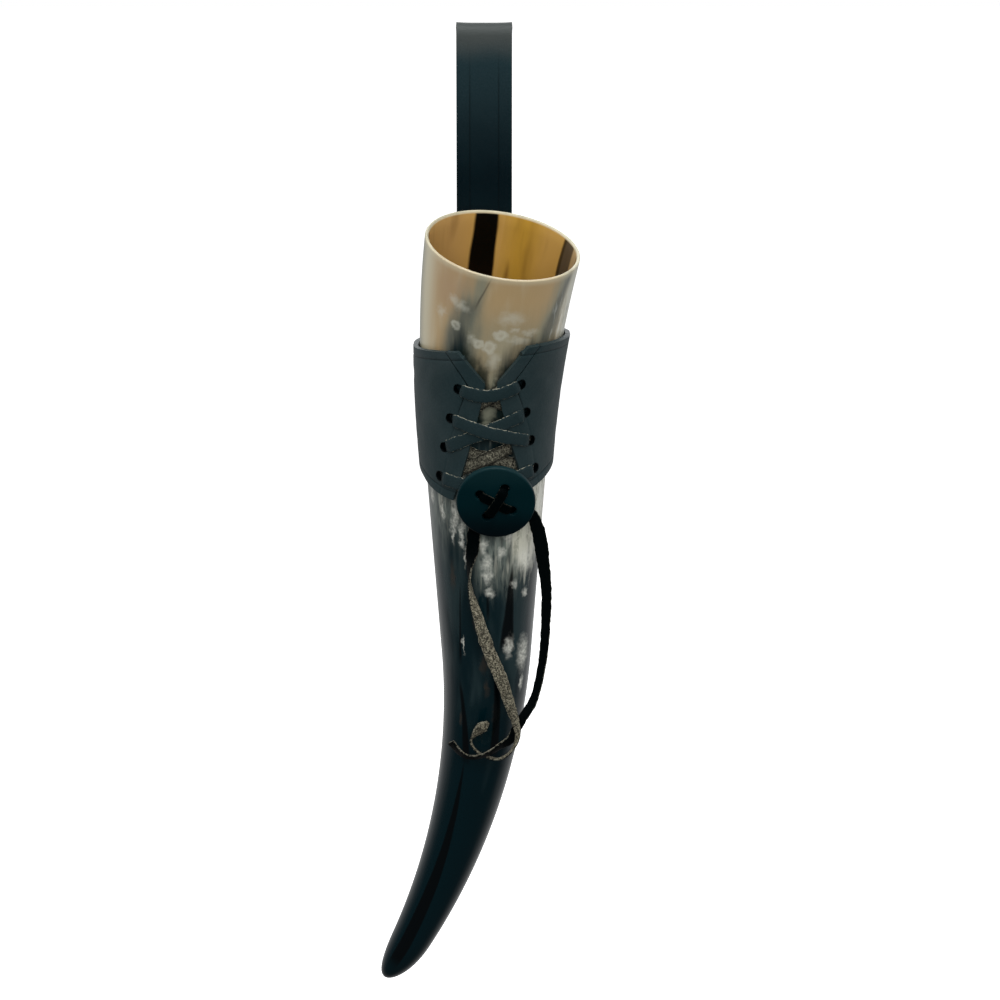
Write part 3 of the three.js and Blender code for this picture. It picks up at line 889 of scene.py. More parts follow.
@dataclass(frozen=True)
class HornOutside:
    """Polished horn: beige and grey at the mouth, streaked through the middle, black towards the tip."""

    cream: Colour = colour(206, 197, 168)
    beige: Colour = colour(188, 162, 120)
    rose: Colour = colour(178, 148, 114)
    grey: Colour = colour(138, 140, 122)
    slate: Colour = colour(62, 70, 70)
    # A dark moss green, used for painted shadow at the notch and, with the horn's own dark, in the gap
    # between the flaps.
    moss_shadow: Colour = colour(26, 36, 28)
    pale: Colour = colour(208, 208, 192)
    white: Colour = colour(230, 231, 220)
    haze: Colour = colour(122, 131, 124)
    dark: Colour = colour(34, 50, 53)
    black: Colour = colour(0, 24, 30)
    ink: Colour = colour(0, 3, 5)
    brown: Colour = colour(58, 50, 42)
    rings: tuple[Mark, ...] = (
        Mark(-29, 29.2, 2.0, 2.2), Mark(7, 30.6, 3.0, 2.8), Mark(-10, 36.1, 2.2, 2.6),
        Mark(-1, 37.4, 3.0, 3.4),
    )
    clouds: tuple[Mark, ...] = (
        Mark(-26, 18.9, 3.6, 2.8), Mark(-32, 17.2, 3.0, 3.0), Mark(17, 27.4, 2.2, 1.6),
        Mark(22, 33, 5.0, 2.6), Mark(-44, 25, 2.6, 3.2), Mark(3, 44, 3.0, 5.0),
        Mark(14, 21, 6.0, 4.0), Mark(-16, 34, 2.0, 3.0), Mark(30, 29, 4.0, 2.0),
    )
    # Painted contact shadow beside the cuff's notch edges.
    notch_shadows: tuple[Mark, ...] = (
        Mark(-6, 51.5, 2.6, 5.5), Mark(-13.5, 47, 2.8, 4.6), Mark(-21, 43.5, 2.8, 4.0),
        Mark(12.5, 51.5, 1.8, 5.0), Mark(19, 47, 2.0, 4.0),
    )
    gap: tuple[Mark, ...] = (Mark(3, 54, 1.6, 5.0), Mark(1.5, 71, 3.6, 6.0), Mark(0, 77, 2.2, 3.0))
    bands: tuple[Band, ...] = (
        Band(grey, Streak((-9.5, -6), (-38, 75), 6, 15.7), 7, 24, 0.6, 0.5),
        Band(slate, Streak((-18, 14), (-44, 75), 4, 23), 9, 26, 0.4, 0.45),
        Band(brown, Streak((-5, 1), (-14, 17), 0.4, 0.9), 0.7, 3, 0.6),
        Band(grey, Streak((64, -6), (25, 75), 10, 17.5), 8, 22, 0.5, 0.6),
        Band(slate, Streak((68, -6), (24.6, 75), 2.2, 15), 5, 14, 0.3, 0.7),
    )
    lines: tuple[Streak, ...] = (
        Streak((29.8, 146), (25.5, 184), 0.8, 9.5), Streak((-31, 156), (-34.2, 190), 0.6, 1.8),
        Streak((-62, 194), (-69, 212), 0.5, 0.9), Streak((12.5, 188), (24, 234), 3.0, 6.5),
        Streak((2.2, 158), (2.2, 169), 1.0, 1.6), Streak((-36, 202), (-18, 238), 2.0, 6.0),
        Streak((-20, 240), (-17, 346), 0.6, 20.0),
    )
    spots: tuple[Mark, ...] = (
        Mark(1, 143.4, 2.6, 4.2), Mark(2, 149.9, 2.6, 3.2), Mark(4, 157.4, 2.2, 2.2),
        Mark(-32.5, 122, 1.5, 6.0), Mark(-25.3, 131, 1.4, 7.0), Mark(-36, 130, 1.2, 4.5),
        Mark(-67, 114.5, 1.8, 4.0), Mark(48, 143, 6.0, 5.5), Mark(50, 158.9, 2.2, 1.8),
        Mark(-22, 141, 0.9, 4.0), Mark(17, 139, 2.6, 2.0), Mark(29.4, 183.4, 2.6, 4.4),
        Mark(53.8, 187.3, 4.6, 7.2), Mark(55.2, 200.9, 1.8, 3.2), Mark(-30, 182, 0.6, 4.0),
        Mark(24, 131, 2.0, 4.0), Mark(-48, 121, 1.0, 4.0), Mark(-3, 136, 2.0, 3.0),
        Mark(33, 154, 2.0, 2.0),
    )
    browns: tuple[Mark, ...] = (
        Mark(-3, 191, 3.0, 6.0), Mark(2, 202, 2.4, 5.0), Mark(15, 214, 2.6, 5.0), Mark(-33, 219, 1.6, 4.5),
        Mark(-40, 150, 3.0, 9.0), Mark(-12, 168, 2.6, 8.0),
    )

    def material(self) -> bpy.types.Material:
        """Builds the finish.

        Returns:
            The material.
        """
        pattern = HornPattern("polished_horn")
        paint = pattern.paint
        base = self.mouth(pattern)
        tongue = abs(pattern.angle - 3) * pattern.window(-32, 40, 8) * 0.82
        turn = pattern.station + pattern.fine.shift(14) + pattern.broad.shift(24) + tongue
        base = paint.blend(base, self.middle(pattern), turn.step(46, 67))
        # Painted contact shadow where the cuff's notch edges lie on the horn.
        base = paint.blend(base, self.moss_shadow, pattern.spots(self.notch_shadows, 2.2).step(-0.5, 0.8) * 0.75)
        lines = pattern.fibre(scale=1500, stretch=0.02, detail=2)
        rough = 0.36 - pattern.station.step(100, 200) * 0.16 + pattern.fine.shift(0.08)
        waves = paint.bump(pattern.broad, depth=0.0006, strength=0.4)
        normal = paint.bump(lines, depth=0.00004, strength=0.5, under=waves)
        gloss = {"Coat_Weight": 0.15, "Coat_Roughness": 0.15}
        return paint.finish(Base_Color=base, Roughness=rough, Normal=normal, **gloss)

    def mouth(self, pattern: HornPattern) -> Value:
        """Colours near the mouth: beige with grey slanting bands and whitish rings.

        Args:
            pattern: The horn's growth pattern.

        Returns:
            The colour.
        """
        paint = pattern.paint
        base = paint.blend(self.beige, self.cream, pattern.broad.step(0.48, 0.74) * 0.5)
        base = paint.blend(base, self.rose, pattern.window(-50, -14, 12) * pattern.along(2, 24, 10) * 0.7)
        base = paint.blend(base, self.cream, pattern.angle.step(-46, -66))
        base = paint.blend(base, self.grey, pattern.angle.step(-66, -84) * 0.95)
        base = paint.blend(base, self.pale, pattern.angle.step(50, 74))
        behind = 1 - pattern.window(-146, 146, 26)
        base = paint.blend(base, paint.blend(self.cream, self.grey, pattern.broad.step(0.4, 0.65)), behind)
        base = paint.blend(base, self.grey, pattern.window(-34, 40, 14) * pattern.along(22, 90, 12) * 0.55)
        for band in self.bands:
            base = pattern.banded(base, band)
        flecks = pattern.window(52, 100, 8) * pattern.along(14, 60, 10)
        base = paint.blend(base, self.slate, flecks * pattern.streaks.step(0.5, 0.36) * 0.4)
        base = paint.blend(base, self.white, flecks * pattern.streaks.step(0.52, 0.66) * 0.6)
        base = paint.blend(base, self.pale, pattern.spots(self.clouds, 2.6).step(-0.3, 1.0) * 0.5)
        ring = pattern.spots(self.rings, 1.7)
        base = paint.blend(base, self.pale, ring.step(-0.25, 0.4) * (1 - ring.step(0.35, 0.95) * 0.5) * 0.6)
        return paint.blend(base, self.cream, pattern.station.step(4, 0.4) * 0.6)

    def middle(self, pattern: HornPattern) -> Value:
        """Colours below the cuff: pale on the right, streaked dark on the left, black towards the tip.

        Args:
            pattern: The horn's growth pattern.

        Returns:
            The colour.
        """
        paint = pattern.paint
        base = paint.blend(self.dark, self.black, pattern.broad.step(0.34, 0.6) * 0.85)
        base = paint.blend(base, self.black, (pattern.station + pattern.broad.shift(110)).step(182, 240))
        base = paint.blend(base, self.brown, pattern.spots(self.browns, 3).step(-0.1, 0.9) * 0.6)
        haze = pattern.window(-64, 40, 12) * (pattern.station + pattern.broad.shift(50)).step(146, 110)
        lower = pattern.window(-12, 38, 8) * (pattern.station + pattern.streaks.shift(40)).step(166, 140)
        haze = haze.most(lower) * (pattern.station + pattern.fine.shift(90)).step(84, 108)
        base = paint.blend(base, self.haze, haze * (0.2 + pattern.streaks.step(0.32, 0.64) * 0.75))
        base = paint.blend(base, self.pale, haze * pattern.fine.step(0.5, 0.74) * 0.45)
        wander = pattern.streaks.shift(50) + pattern.broad.shift(30)
        edge = pattern.station.step(66, 114) * 34 - 60
        right = (pattern.angle + pattern.fine.shift(40) + edge).step(-7, 7) * pattern.angle.step(118, 92)
        right = right * (pattern.station + wander * 0.6).step(152, 136)
        # Whiter towards the right limb: the horn's own pale plus painted light there.
        light = paint.blend(self.pale, self.white, pattern.angle.step(44, 70))
        base = paint.blend(base, light, right * 0.97)
        mottling = right * pattern.streaks.step(0.46, 0.62) * pattern.speckle.step(0.3, 0.6)
        base = paint.blend(base, self.grey, mottling * 0.7)
        for line in self.lines:
            base = pattern.banded(base, Band(self.ink, line, soft=1.4, ragged=5, least=0.95))
        # Darker horn in the gap between the flaps: the horn's own dark and painted shade there.
        base = paint.blend(base, self.moss_shadow, pattern.window(-16, 20, 8) * pattern.along(52, 84, 8) * 0.5)
        base = paint.blend(base, self.grey, pattern.spots(self.gap, 2.4).step(-0.3, 0.8) * 0.85)
        # Paler haze along the limbs: the horn's own haze and a painted highlight.
        limb_highlight = (1 - pattern.window(-68, 106, 14)) * (pattern.station + wander * 1.6).step(150, 104)
        base = paint.blend(base, self.haze, limb_highlight * (0.45 + pattern.streaks.step(0.3, 0.6) * 0.4))
        speckled = 0.45 + pattern.speckle.step(0.3, 0.7) * 0.55
        return paint.blend(base, self.white, pattern.spots(self.spots, 3.0).step(-0.6, 0.9) * speckled * 0.8)


@dataclass(frozen=True)
class HornInside:
    """The hollow: amber horn with dark bands that run down into it."""

    amber: Colour = colour(188, 148, 78)
    gold: Colour = colour(180, 139, 50)
    tan: Colour = colour(184, 146, 90)
    umber: Colour = colour(96, 62, 24)
    dark: Colour = colour(3, 3, 2)
    smoke: Colour = colour(62, 58, 53)
    ash: Colour = colour(170, 158, 136)
    rim: Colour = colour(206, 193, 160)
    bands: tuple[Band, ...] = (
        Band(umber, Streak((172, 22), (170, 160), 1.2, 5.0), 2.6, 5, 0.75),
        Band(dark, Streak((-164.5, -9), (-172, 177), 8.2, 22.0), 1.3, 6),
        Band(ash, Streak((99, -9), (102, 185), 8, 9.5), 3, 12, 0.0, 1.0),
        Band(smoke, Streak((114, -9), (118.5, 185), 7.5, 12.8), 1.6, 8, 0.9),
        Band(dark, Streak((122, -9), (129.5, 185), 1.5, 3), 1.2, 6, 0.85),
        Band(dark, Streak((90, -9), (90, 185), 2, 5), 2, 8, 0.8),
        Band(umber, Streak((-92, -9), (-89, 185), 3, 7.5), 2, 6, 0.8),
    )

    def material(self) -> bpy.types.Material:
        """Builds the finish.

        Returns:
            The material.
        """
        pattern = HornPattern("horn_hollow")
        paint = pattern.paint
        base = paint.blend(self.amber, self.tan, pattern.window(-150, -80, 20) * 0.8)
        base = paint.blend(base, self.gold, pattern.window(150, 176, 12) * 0.9)
        grown = pattern.broad.step(0.5, 0.78) * 0.4 + pattern.fine.step(0.6, 0.9) * 0.15
        base = paint.blend(base, self.umber, grown)
        for band in self.bands:
            base = pattern.banded(base, band)
        # Darker deeper into the hollow: painted shade.
        base = paint.blend(base, self.umber, pattern.station.step(15, 120) * 0.75)
        base = paint.blend(base, self.rim, pattern.station.step(1.2, 0.6) * 0.85)
        normal = paint.bump(pattern.fine, depth=0.0002, strength=0.3)
        rough = 0.46 + pattern.fine.shift(0.2)
        return paint.finish(Base_Color=base, Roughness=rough, Normal=normal, Specular_IOR_Level=0.2)


# Colour of painted shadow: in creases, grooves and holes, and on lace squeezed into holes.
PAINTED_RECESS_SHADOW = colour(0, 4, 6)


@dataclass(frozen=True)
class PaintedTopLight:
    """Painted top light: a paler colour painted on leather between two heights and kept above them."""

    shade: Colour
    start: float
    end: float


@dataclass(frozen=True)
class Leather:
    """Finely pebbled dyed leather, with painted top light at its top and painted shadow in its creases,
    grooves and holes.
    """

    name: str
    shade: Colour
    worn: Colour
    rough: float = 0.52
    pebble: float = 0.00010
    shine: float = 0.35
    painted_top_lights: tuple[PaintedTopLight, ...] = ()
    creases: tuple[int, ...] = ()
    crease_fade: tuple[float, float] = (0.0, 1.0)
    crease_shadow_share: float = 0.9
    borders: tuple[int, ...] = ()
    pebble_sway: float = 0.0012

    def material(self) -> bpy.types.Material:
        """Builds the finish.

        Returns:
            The material.
        """
        paint = Paint(self.name)
        place = paint.place()
        height = paint.parts(place)[2]
        sway = paint.grain(place, scale=300) * self.pebble_sway
        bent = paint.vector_maths("ADD", place, paint.joined(sway, sway, sway))
        pebbles = paint.cells(bent, scale=950)
        broad = paint.grain(place, scale=55, detail=3)
        fine = paint.grain(place, scale=2600, detail=3, rough=0.6)
        wear = broad.step(0.42, 0.72) * 0.5 + pebbles.step(0.25, 0.7) * 0.12
        base = paint.blend(self.shade, self.worn, wear)
        # Painted top light: each colour is painted in from its start height upwards, paler where light from
        # above falls.
        for top_light in self.painted_top_lights:
            base = paint.blend(base, top_light.shade, (height + broad.shift(0.008)).step(top_light.start, top_light.end))
        # Painted shadow in the creases, the border grooves and the holes.
        if self.creases:
            base = paint.blend(base, PAINTED_RECESS_SHADOW, self.recess_shadow_mask(paint))
        rough = self.rough + broad.shift(0.16) + fine.shift(0.12)
        pebbled = paint.bump(pebbles, depth=self.pebble, strength=0.5)
        normal = paint.bump(fine, depth=0.00004, strength=0.5, under=pebbled)
        return paint.finish(Base_Color=base, Roughness=rough, Normal=normal, Specular_IOR_Level=self.shine)

    def recess_shadow_mask(self, paint: Paint) -> Value:
        """A mask of painted shadow over the sheet's creased columns, its border grooves and its holes.

        Args:
            paint: The material.

        Returns:
            The mask, where the creases fade from one row to another.
        """
        column, row, hole = paint.parts(paint.attribute("sheet"))
        first, last = (abs(column - crease) for crease in self.creases)
        start, end = self.crease_fade
        lines = first.least(last).step(0.8, 0.2) * row.step(end, start) * self.crease_shadow_share
        for border in self.borders:
            lines = lines.most(abs(row - border).step(0.9, 0.1) * 0.45)
        return lines.most(hole.step(0.5, 0.95))


@dataclass(frozen=True)
class LaceLeather:
    """Lace leather: dark on its grain side, with grey-brown suede on its flesh side and cut edges."""

    name: str
    grain: Colour
    edge: float = 1.0
    suede: Colour = colour(134, 131, 116)
    shadow: Colour = colour(32, 32, 28)
    fibre: Colour = colour(178, 175, 156)
    shine: float = 0.3
    # hollow: how much painted shade darkens the suede towards the lace's edges.
    hollow: float = 0.0

    def material(self) -> bpy.types.Material:
        """Builds the finish.

        Returns:
            The material.
        """
        paint = Paint(self.name)
        place = paint.place()
        across, face, squeezed = paint.parts(paint.attribute("lace"))
        fuzz = paint.grain(place, scale=1500, detail=4, rough=0.75)
        wisps = paint.grain(place, scale=480, detail=3, rough=0.65, bend=1.5)
        # Painted shade: the suede darkens towards the lace's edges by hollow.
        sunk = 1 - abs(across).step(0.15, 0.8) * self.hollow
        nap = fuzz.step(0.38, 0.66) * (0.3 + wisps.step(0.36, 0.6) * 0.7)
        suede = paint.blend(self.shadow, self.suede, nap * sunk)
        dashes = paint.grain(place, scale=900, detail=2, rough=0.6).step(0.44, 0.58)
        edge = (abs(across) + wisps.shift(0.16)).step(0.8, 0.92) * dashes
        flesh = face.step(-0.02, -0.22)
        base = paint.blend(paint.blend(self.grain, self.shadow, fuzz.step(0.6, 0.9) * 0.2), suede, flesh)
        base = paint.blend(base, self.fibre, edge * self.edge)
        # Painted shadow on the lace where it is squeezed into a hole, and on its flesh side near there.
        hole_shadow = squeezed.step(0.45, 0.9).most(squeezed.step(0.02, 0.3) * flesh)
        base = paint.blend(base, PAINTED_RECESS_SHADOW, hole_shadow * 0.9)
        tufts = paint.bump(wisps, depth=0.0002, strength=0.4)
        normal = paint.bump(fuzz, depth=0.00022, strength=0.7, under=tufts)
        rough = 0.62 + flesh * 0.33
        return paint.finish(Base_Color=base, Roughness=rough, Normal=normal, Specular_IOR_Level=self.shine)


@dataclass(frozen=True)
class AgedBrass:
    """Brass rivets, dulled and spotted with age."""

    bright: Colour = colour(186, 150, 84)
    dull: Colour = colour(96, 74, 42)

    def material(self) -> bpy.types.Material:
        """Builds the finish.

        Returns:
            The material.
        """
        paint = Paint("aged_brass")
        place = paint.place()
        tarnish = paint.grain(place, scale=700, detail=4, rough=0.6)
        scratches = paint.grain(paint.scaled(place, 1, 1, 0.1), scale=2500, detail=2)
        base = paint.blend(self.bright, self.dull, tarnish.step(0.42, 0.68))
        rough = 0.28 + tarnish * 0.3
        normal = paint.bump(scratches, depth=0.00002, strength=0.4)
        return paint.finish(Base_Color=base, Roughness=rough, Metallic=1.0, Normal=normal)


@dataclass(frozen=True)
class Stop:
    """A point of a lace's route: its place, the way its grain side faces, and how far it is squeezed there.

    A lace that goes through a hole has no facing of its own there and takes it from the stops beside it.
    """

    place: Vector
    face: Optional[Vector] = None
    pinch: float = 0.0
    broad: float = 1.0


@dataclass(frozen=True)
class Ring:
    """A section of a lace: its middle, the ways across and out of its grain side, and its half sizes."""

    place: Vector
    across: Vector
    face: Vector
    half_width: float
    half_thickness: float
    pinch: float
    fray: float = 0.11
    fray_scale: float = 650.0
    fray_apart: float = 5.0

    def point(self, around: Vector) -> Vector:
        """A point of the section, from a point of a round one: flat sides with rounded corners.

        Args:
            around: The point of the round section, of radius 1.

        Returns:
            The point.
        """
        edge = math.copysign(1, around.x)
        where = self.place * self.fray_scale + self.across * edge * self.fray_apart
        fray = 1 + self.fray * noise.noise(where)
        aside = edge * math.sqrt(abs(around.x)) * self.half_width * fray
        out = math.copysign(math.sqrt(abs(around.y)), around.y) * self.half_thickness
        return self.place + self.across * aside + self.face * out


class Ribbon:
    """A flat lace that follows a route in one smooth curve."""

    width = 0.0045
    thickness = 0.0012
    pinched_width = 0.0036
    pinched_thickness = 0.001
    spacing = 0.0007
    sides = 16
    unevenness = 0.1
    uneven_scale = 190

    def __init__(self, stops: Sequence[Stop]) -> None:
        """Works out the sections along the route.

        Args:
            stops: The route.
        """
        self.stops = stops
        self.speeds = [self.speed(number) for number in range(len(stops))]
        self.acrosses = self.turns()
        self.rings = self.sections()

    def speed(self, number: int) -> Vector:
        """The route's direction at a stop, from the stops beside it.

        Args:
            number: The stop's number.

        Returns:
            A unit vector.
        """
        here = self.stops[number].place
        before = here - self.stops[max(number - 1, 0)].place
        after = self.stops[min(number + 1, len(self.stops) - 1)].place - here
        if not before.length or not after.length:
            return (before + after).normalized()
        ratio = after.length / before.length
        return (before * ratio + after / ratio).normalized()

    def turns(self) -> list[Vector]:
        """The way across the lace at each stop.

        Returns:
            Unit vectors.
        """
        pairs = zip(self.stops, self.speeds)
        known = [stop.face.cross(speed) if stop.face else None for stop, speed in pairs]
        filled = []
        for number, across in enumerate(known):
            if across is None:
                before = next((found for found in reversed(known[:number]) if found), Vector())
                after = next((found for found in known[number:] if found), Vector())
                across = before.normalized() + after.normalized()
            filled.append(across.normalized())
        return filled

    def sections(self) -> list[Ring]:
        """The sections, close enough together for a smooth curve.

        Returns:
            The sections, from the first stop to the last.
        """
        rings = []
        for number in range(len(self.stops) - 1):
            gap = (self.stops[number + 1].place - self.stops[number].place).length
            steps = max(2, round(gap / self.spacing))
            last = number == len(self.stops) - 2
            rings += [self.section(number, step / steps, gap) for step in range(steps + (1 if last else 0))]
        return rings

    def section(self, number: int, share: float, gap: float) -> Ring:
        """The section at a share of the way from one stop to the next.

        Args:
            number: The first stop's number.
            share: The share of the way.
            gap: Length between the stops.

        Returns:
            The section.
        """
        first, last = self.stops[number], self.stops[number + 1]
        start, end = self.speeds[number] * gap, self.speeds[number + 1] * gap
        square, cube = share ** 2, share ** 3
        rise = 3 * square - 2 * cube
        place = first.place.lerp(last.place, rise)
        place += start * (cube - 2 * square + share) + end * (cube - square)
        slope = (last.place - first.place) * (6 * share - 6 * square)
        along = slope + start * (3 * square - 4 * share + 1) + end * (3 * square - 2 * share)
        along.normalize()
        across = self.acrosses[number].lerp(self.acrosses[number + 1], share)
        across = (across - along * across.dot(along)).normalized()
        pinch = mix(first.pinch, last.pinch, share)
        uneven = 1 + self.unevenness * noise.noise(place * self.uneven_scale)
        width = mix(self.width, self.pinched_width, pinch) * mix(first.broad, last.broad, share) * uneven
        thickness = mix(self.thickness, self.pinched_thickness, pinch)
        return Ring(place, across, along.cross(across), width / 2, thickness / 2, pinch)

    def build(self) -> bmesh.types.BMesh:
        """Makes the mesh.

        Returns:
            The mesh, which keeps where each point lies around its section and how far that is squeezed.
        """
        made = tube(self.sides, len(self.rings) - 1)
        carry(made, lambda point: self.rings[round(point.z)].point(point), "lace")
        layer = made.verts.layers.float_vector["lace"]
        for vert in made.verts:
            vert[layer].z = self.rings[round(vert[layer].z)].pinch
        face_out(made)
        return made

    def path(self) -> list[Vector]:
        """The middle of every section."""
        return [ring.place for ring in self.rings]

    def length(self) -> float:
        """The length along the middle."""
        path = self.path()
        return sum((last - first).length for first, last in zip(path, path[1:]))


@dataclass(frozen=True)
class ButtonForm:
    """The lace button: a leather disc that leans out at its top, with four lace holes."""

    radius: float = 0.0174
    thickness: float = 0.0032
    edge: float = 0.0009
    tilt: float = 17.0
    hole_radius: float = 0.002
    hole_ring: float = 0.008
    hole_turn: float = 15.5
    quarter_turn: float = 90.0

    def centre(self) -> Vector:
        """The middle of the disc."""
        low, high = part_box("lace_button")
        return (low + high) / 2

    def out(self) -> Vector:
        """The way the disc faces."""
        lean = math.radians(self.tilt)
        return Vector((0, -math.cos(lean), -math.sin(lean)))

    def point(self, x: float, y: float, out: float) -> Vector:
        """A point of the disc: across, up its face, and out of its middle plane."""
        right = Vector((1, 0, 0))
        return self.centre() + right * x + self.out().cross(right) * y + self.out() * out

    def hole(self, quarter: int) -> Vector:
        """A lace hole's place on the disc, counted from the upper right towards the upper left."""
        angle = math.radians(self.quarter_turn * (quarter + 0.5) + self.hole_turn)
        return Vector((math.cos(angle), math.sin(angle), 0)) * self.hole_ring


BUTTON = ButtonForm()


class ButtonHole(Enum):
    """The button's holes, in the order that ButtonForm counts them."""

    UPPER_RIGHT = 0
    UPPER_LEFT = 1
    LOWER_LEFT = 2
    LOWER_RIGHT = 3


@dataclass
class HornPiece:
    """The horn itself, turned straight and then bent along its axis."""

    facets: int = 144
    outside_step: float = 0.0025
    inside_step: float = 0.005
    rim_steps: int = 8
    rim_thin: float = 0.0006
    thin_length: float = 0.006
    tip_lean: float = 0.0014
    fuse: float = 0.0006
    closing_steps: int = 10
    tip_steps: int = 16
    floor_facing: float = -0.3

    def stations(self, start: float, end: float, step: float) -> list[float]:
        """Even stations between two others."""
        count = round(abs(end - start) / step)
        return [mix(start, end, number / count) for number in range(count + 1)]

    def profile(self) -> list[tuple[float, float]]:
        """The wall's section, from the bottom of the hollow over the rim to the tip.

        Returns:
            Radius and station of each point.
        """
        half = (HORN.rim_wall - self.rim_thin) / 2
        depth, rounding = HORN.hollow_depth, HORN.hollow_rounding
        closing = [depth - rounding * (1 - share) for share in reversed(self.rounded(self.closing_steps))]
        inside = closing + self.stations(depth - rounding, half, self.inside_step)
        section = [(HORN.hollow_radius(station) + self.thinned(station), station) for station in inside]
        middle = HORN.mouth_radius - half
        for step in range(1, self.rim_steps):
            angle = math.pi * step / self.rim_steps
            section.append((middle - half * math.cos(angle), half - half * math.sin(angle)))
        tip = HORN.length - HORN.tip_rounding
        ends = [tip + HORN.tip_rounding * share for share in self.rounded(self.tip_steps)]
        outside = self.stations(half, tip, self.outside_step) + ends
        section += [(HORN.radius(station), station) for station in outside]
        section[0] = (0, section[0][1])
        section[-1] = (0, HORN.length)
        return section

    def rounded(self, steps: int) -> list[float]:
        """Shares of the way into a rounded end, closer together towards it."""
        return [math.sin(math.pi / 2 * number / steps) for number in range(1, steps + 1)]

    def thinned(self, station: float) -> float:
        """How much the wall is thinned from inside towards the rim."""
        return self.rim_thin * math.exp(-station / self.thin_length)

    def bend(self, point: Vector) -> Vector:
        """A point of the straight horn, moved to its place on the bent one, with the tip leaning left.

        Args:
            point: The point of the straight horn.

        Returns:
            The point's place.
        """
        ending = clamp((point.z - HORN.length + HORN.tip_rounding) / HORN.tip_rounding)
        lean = HORN.outward(-math.pi / 2, point.z) * self.tip_lean * ending ** 2
        return lean + HORN.around(math.atan2(point.y, point.x), point.z, math.hypot(point.x, point.y))

    def build(self) -> None:
        """Makes the horn."""
        made = turned(self.profile(), self.facets)
        for face in made.faces:
            middle = face.calc_center_median()
            facing = middle.x * face.normal.x + middle.y * face.normal.y
            inward = facing < 0 or face.normal.z < self.floor_facing
            face.material_index = 1 if inward and middle.z > self.fuse else 0
        carry(made, self.bend, "grain")
        face_out(made)
        Piece("polished_horn", "horn", "horn", ("horn",), sharp=60).put(
            made, HornOutside().material(), HornInside().material()
        )


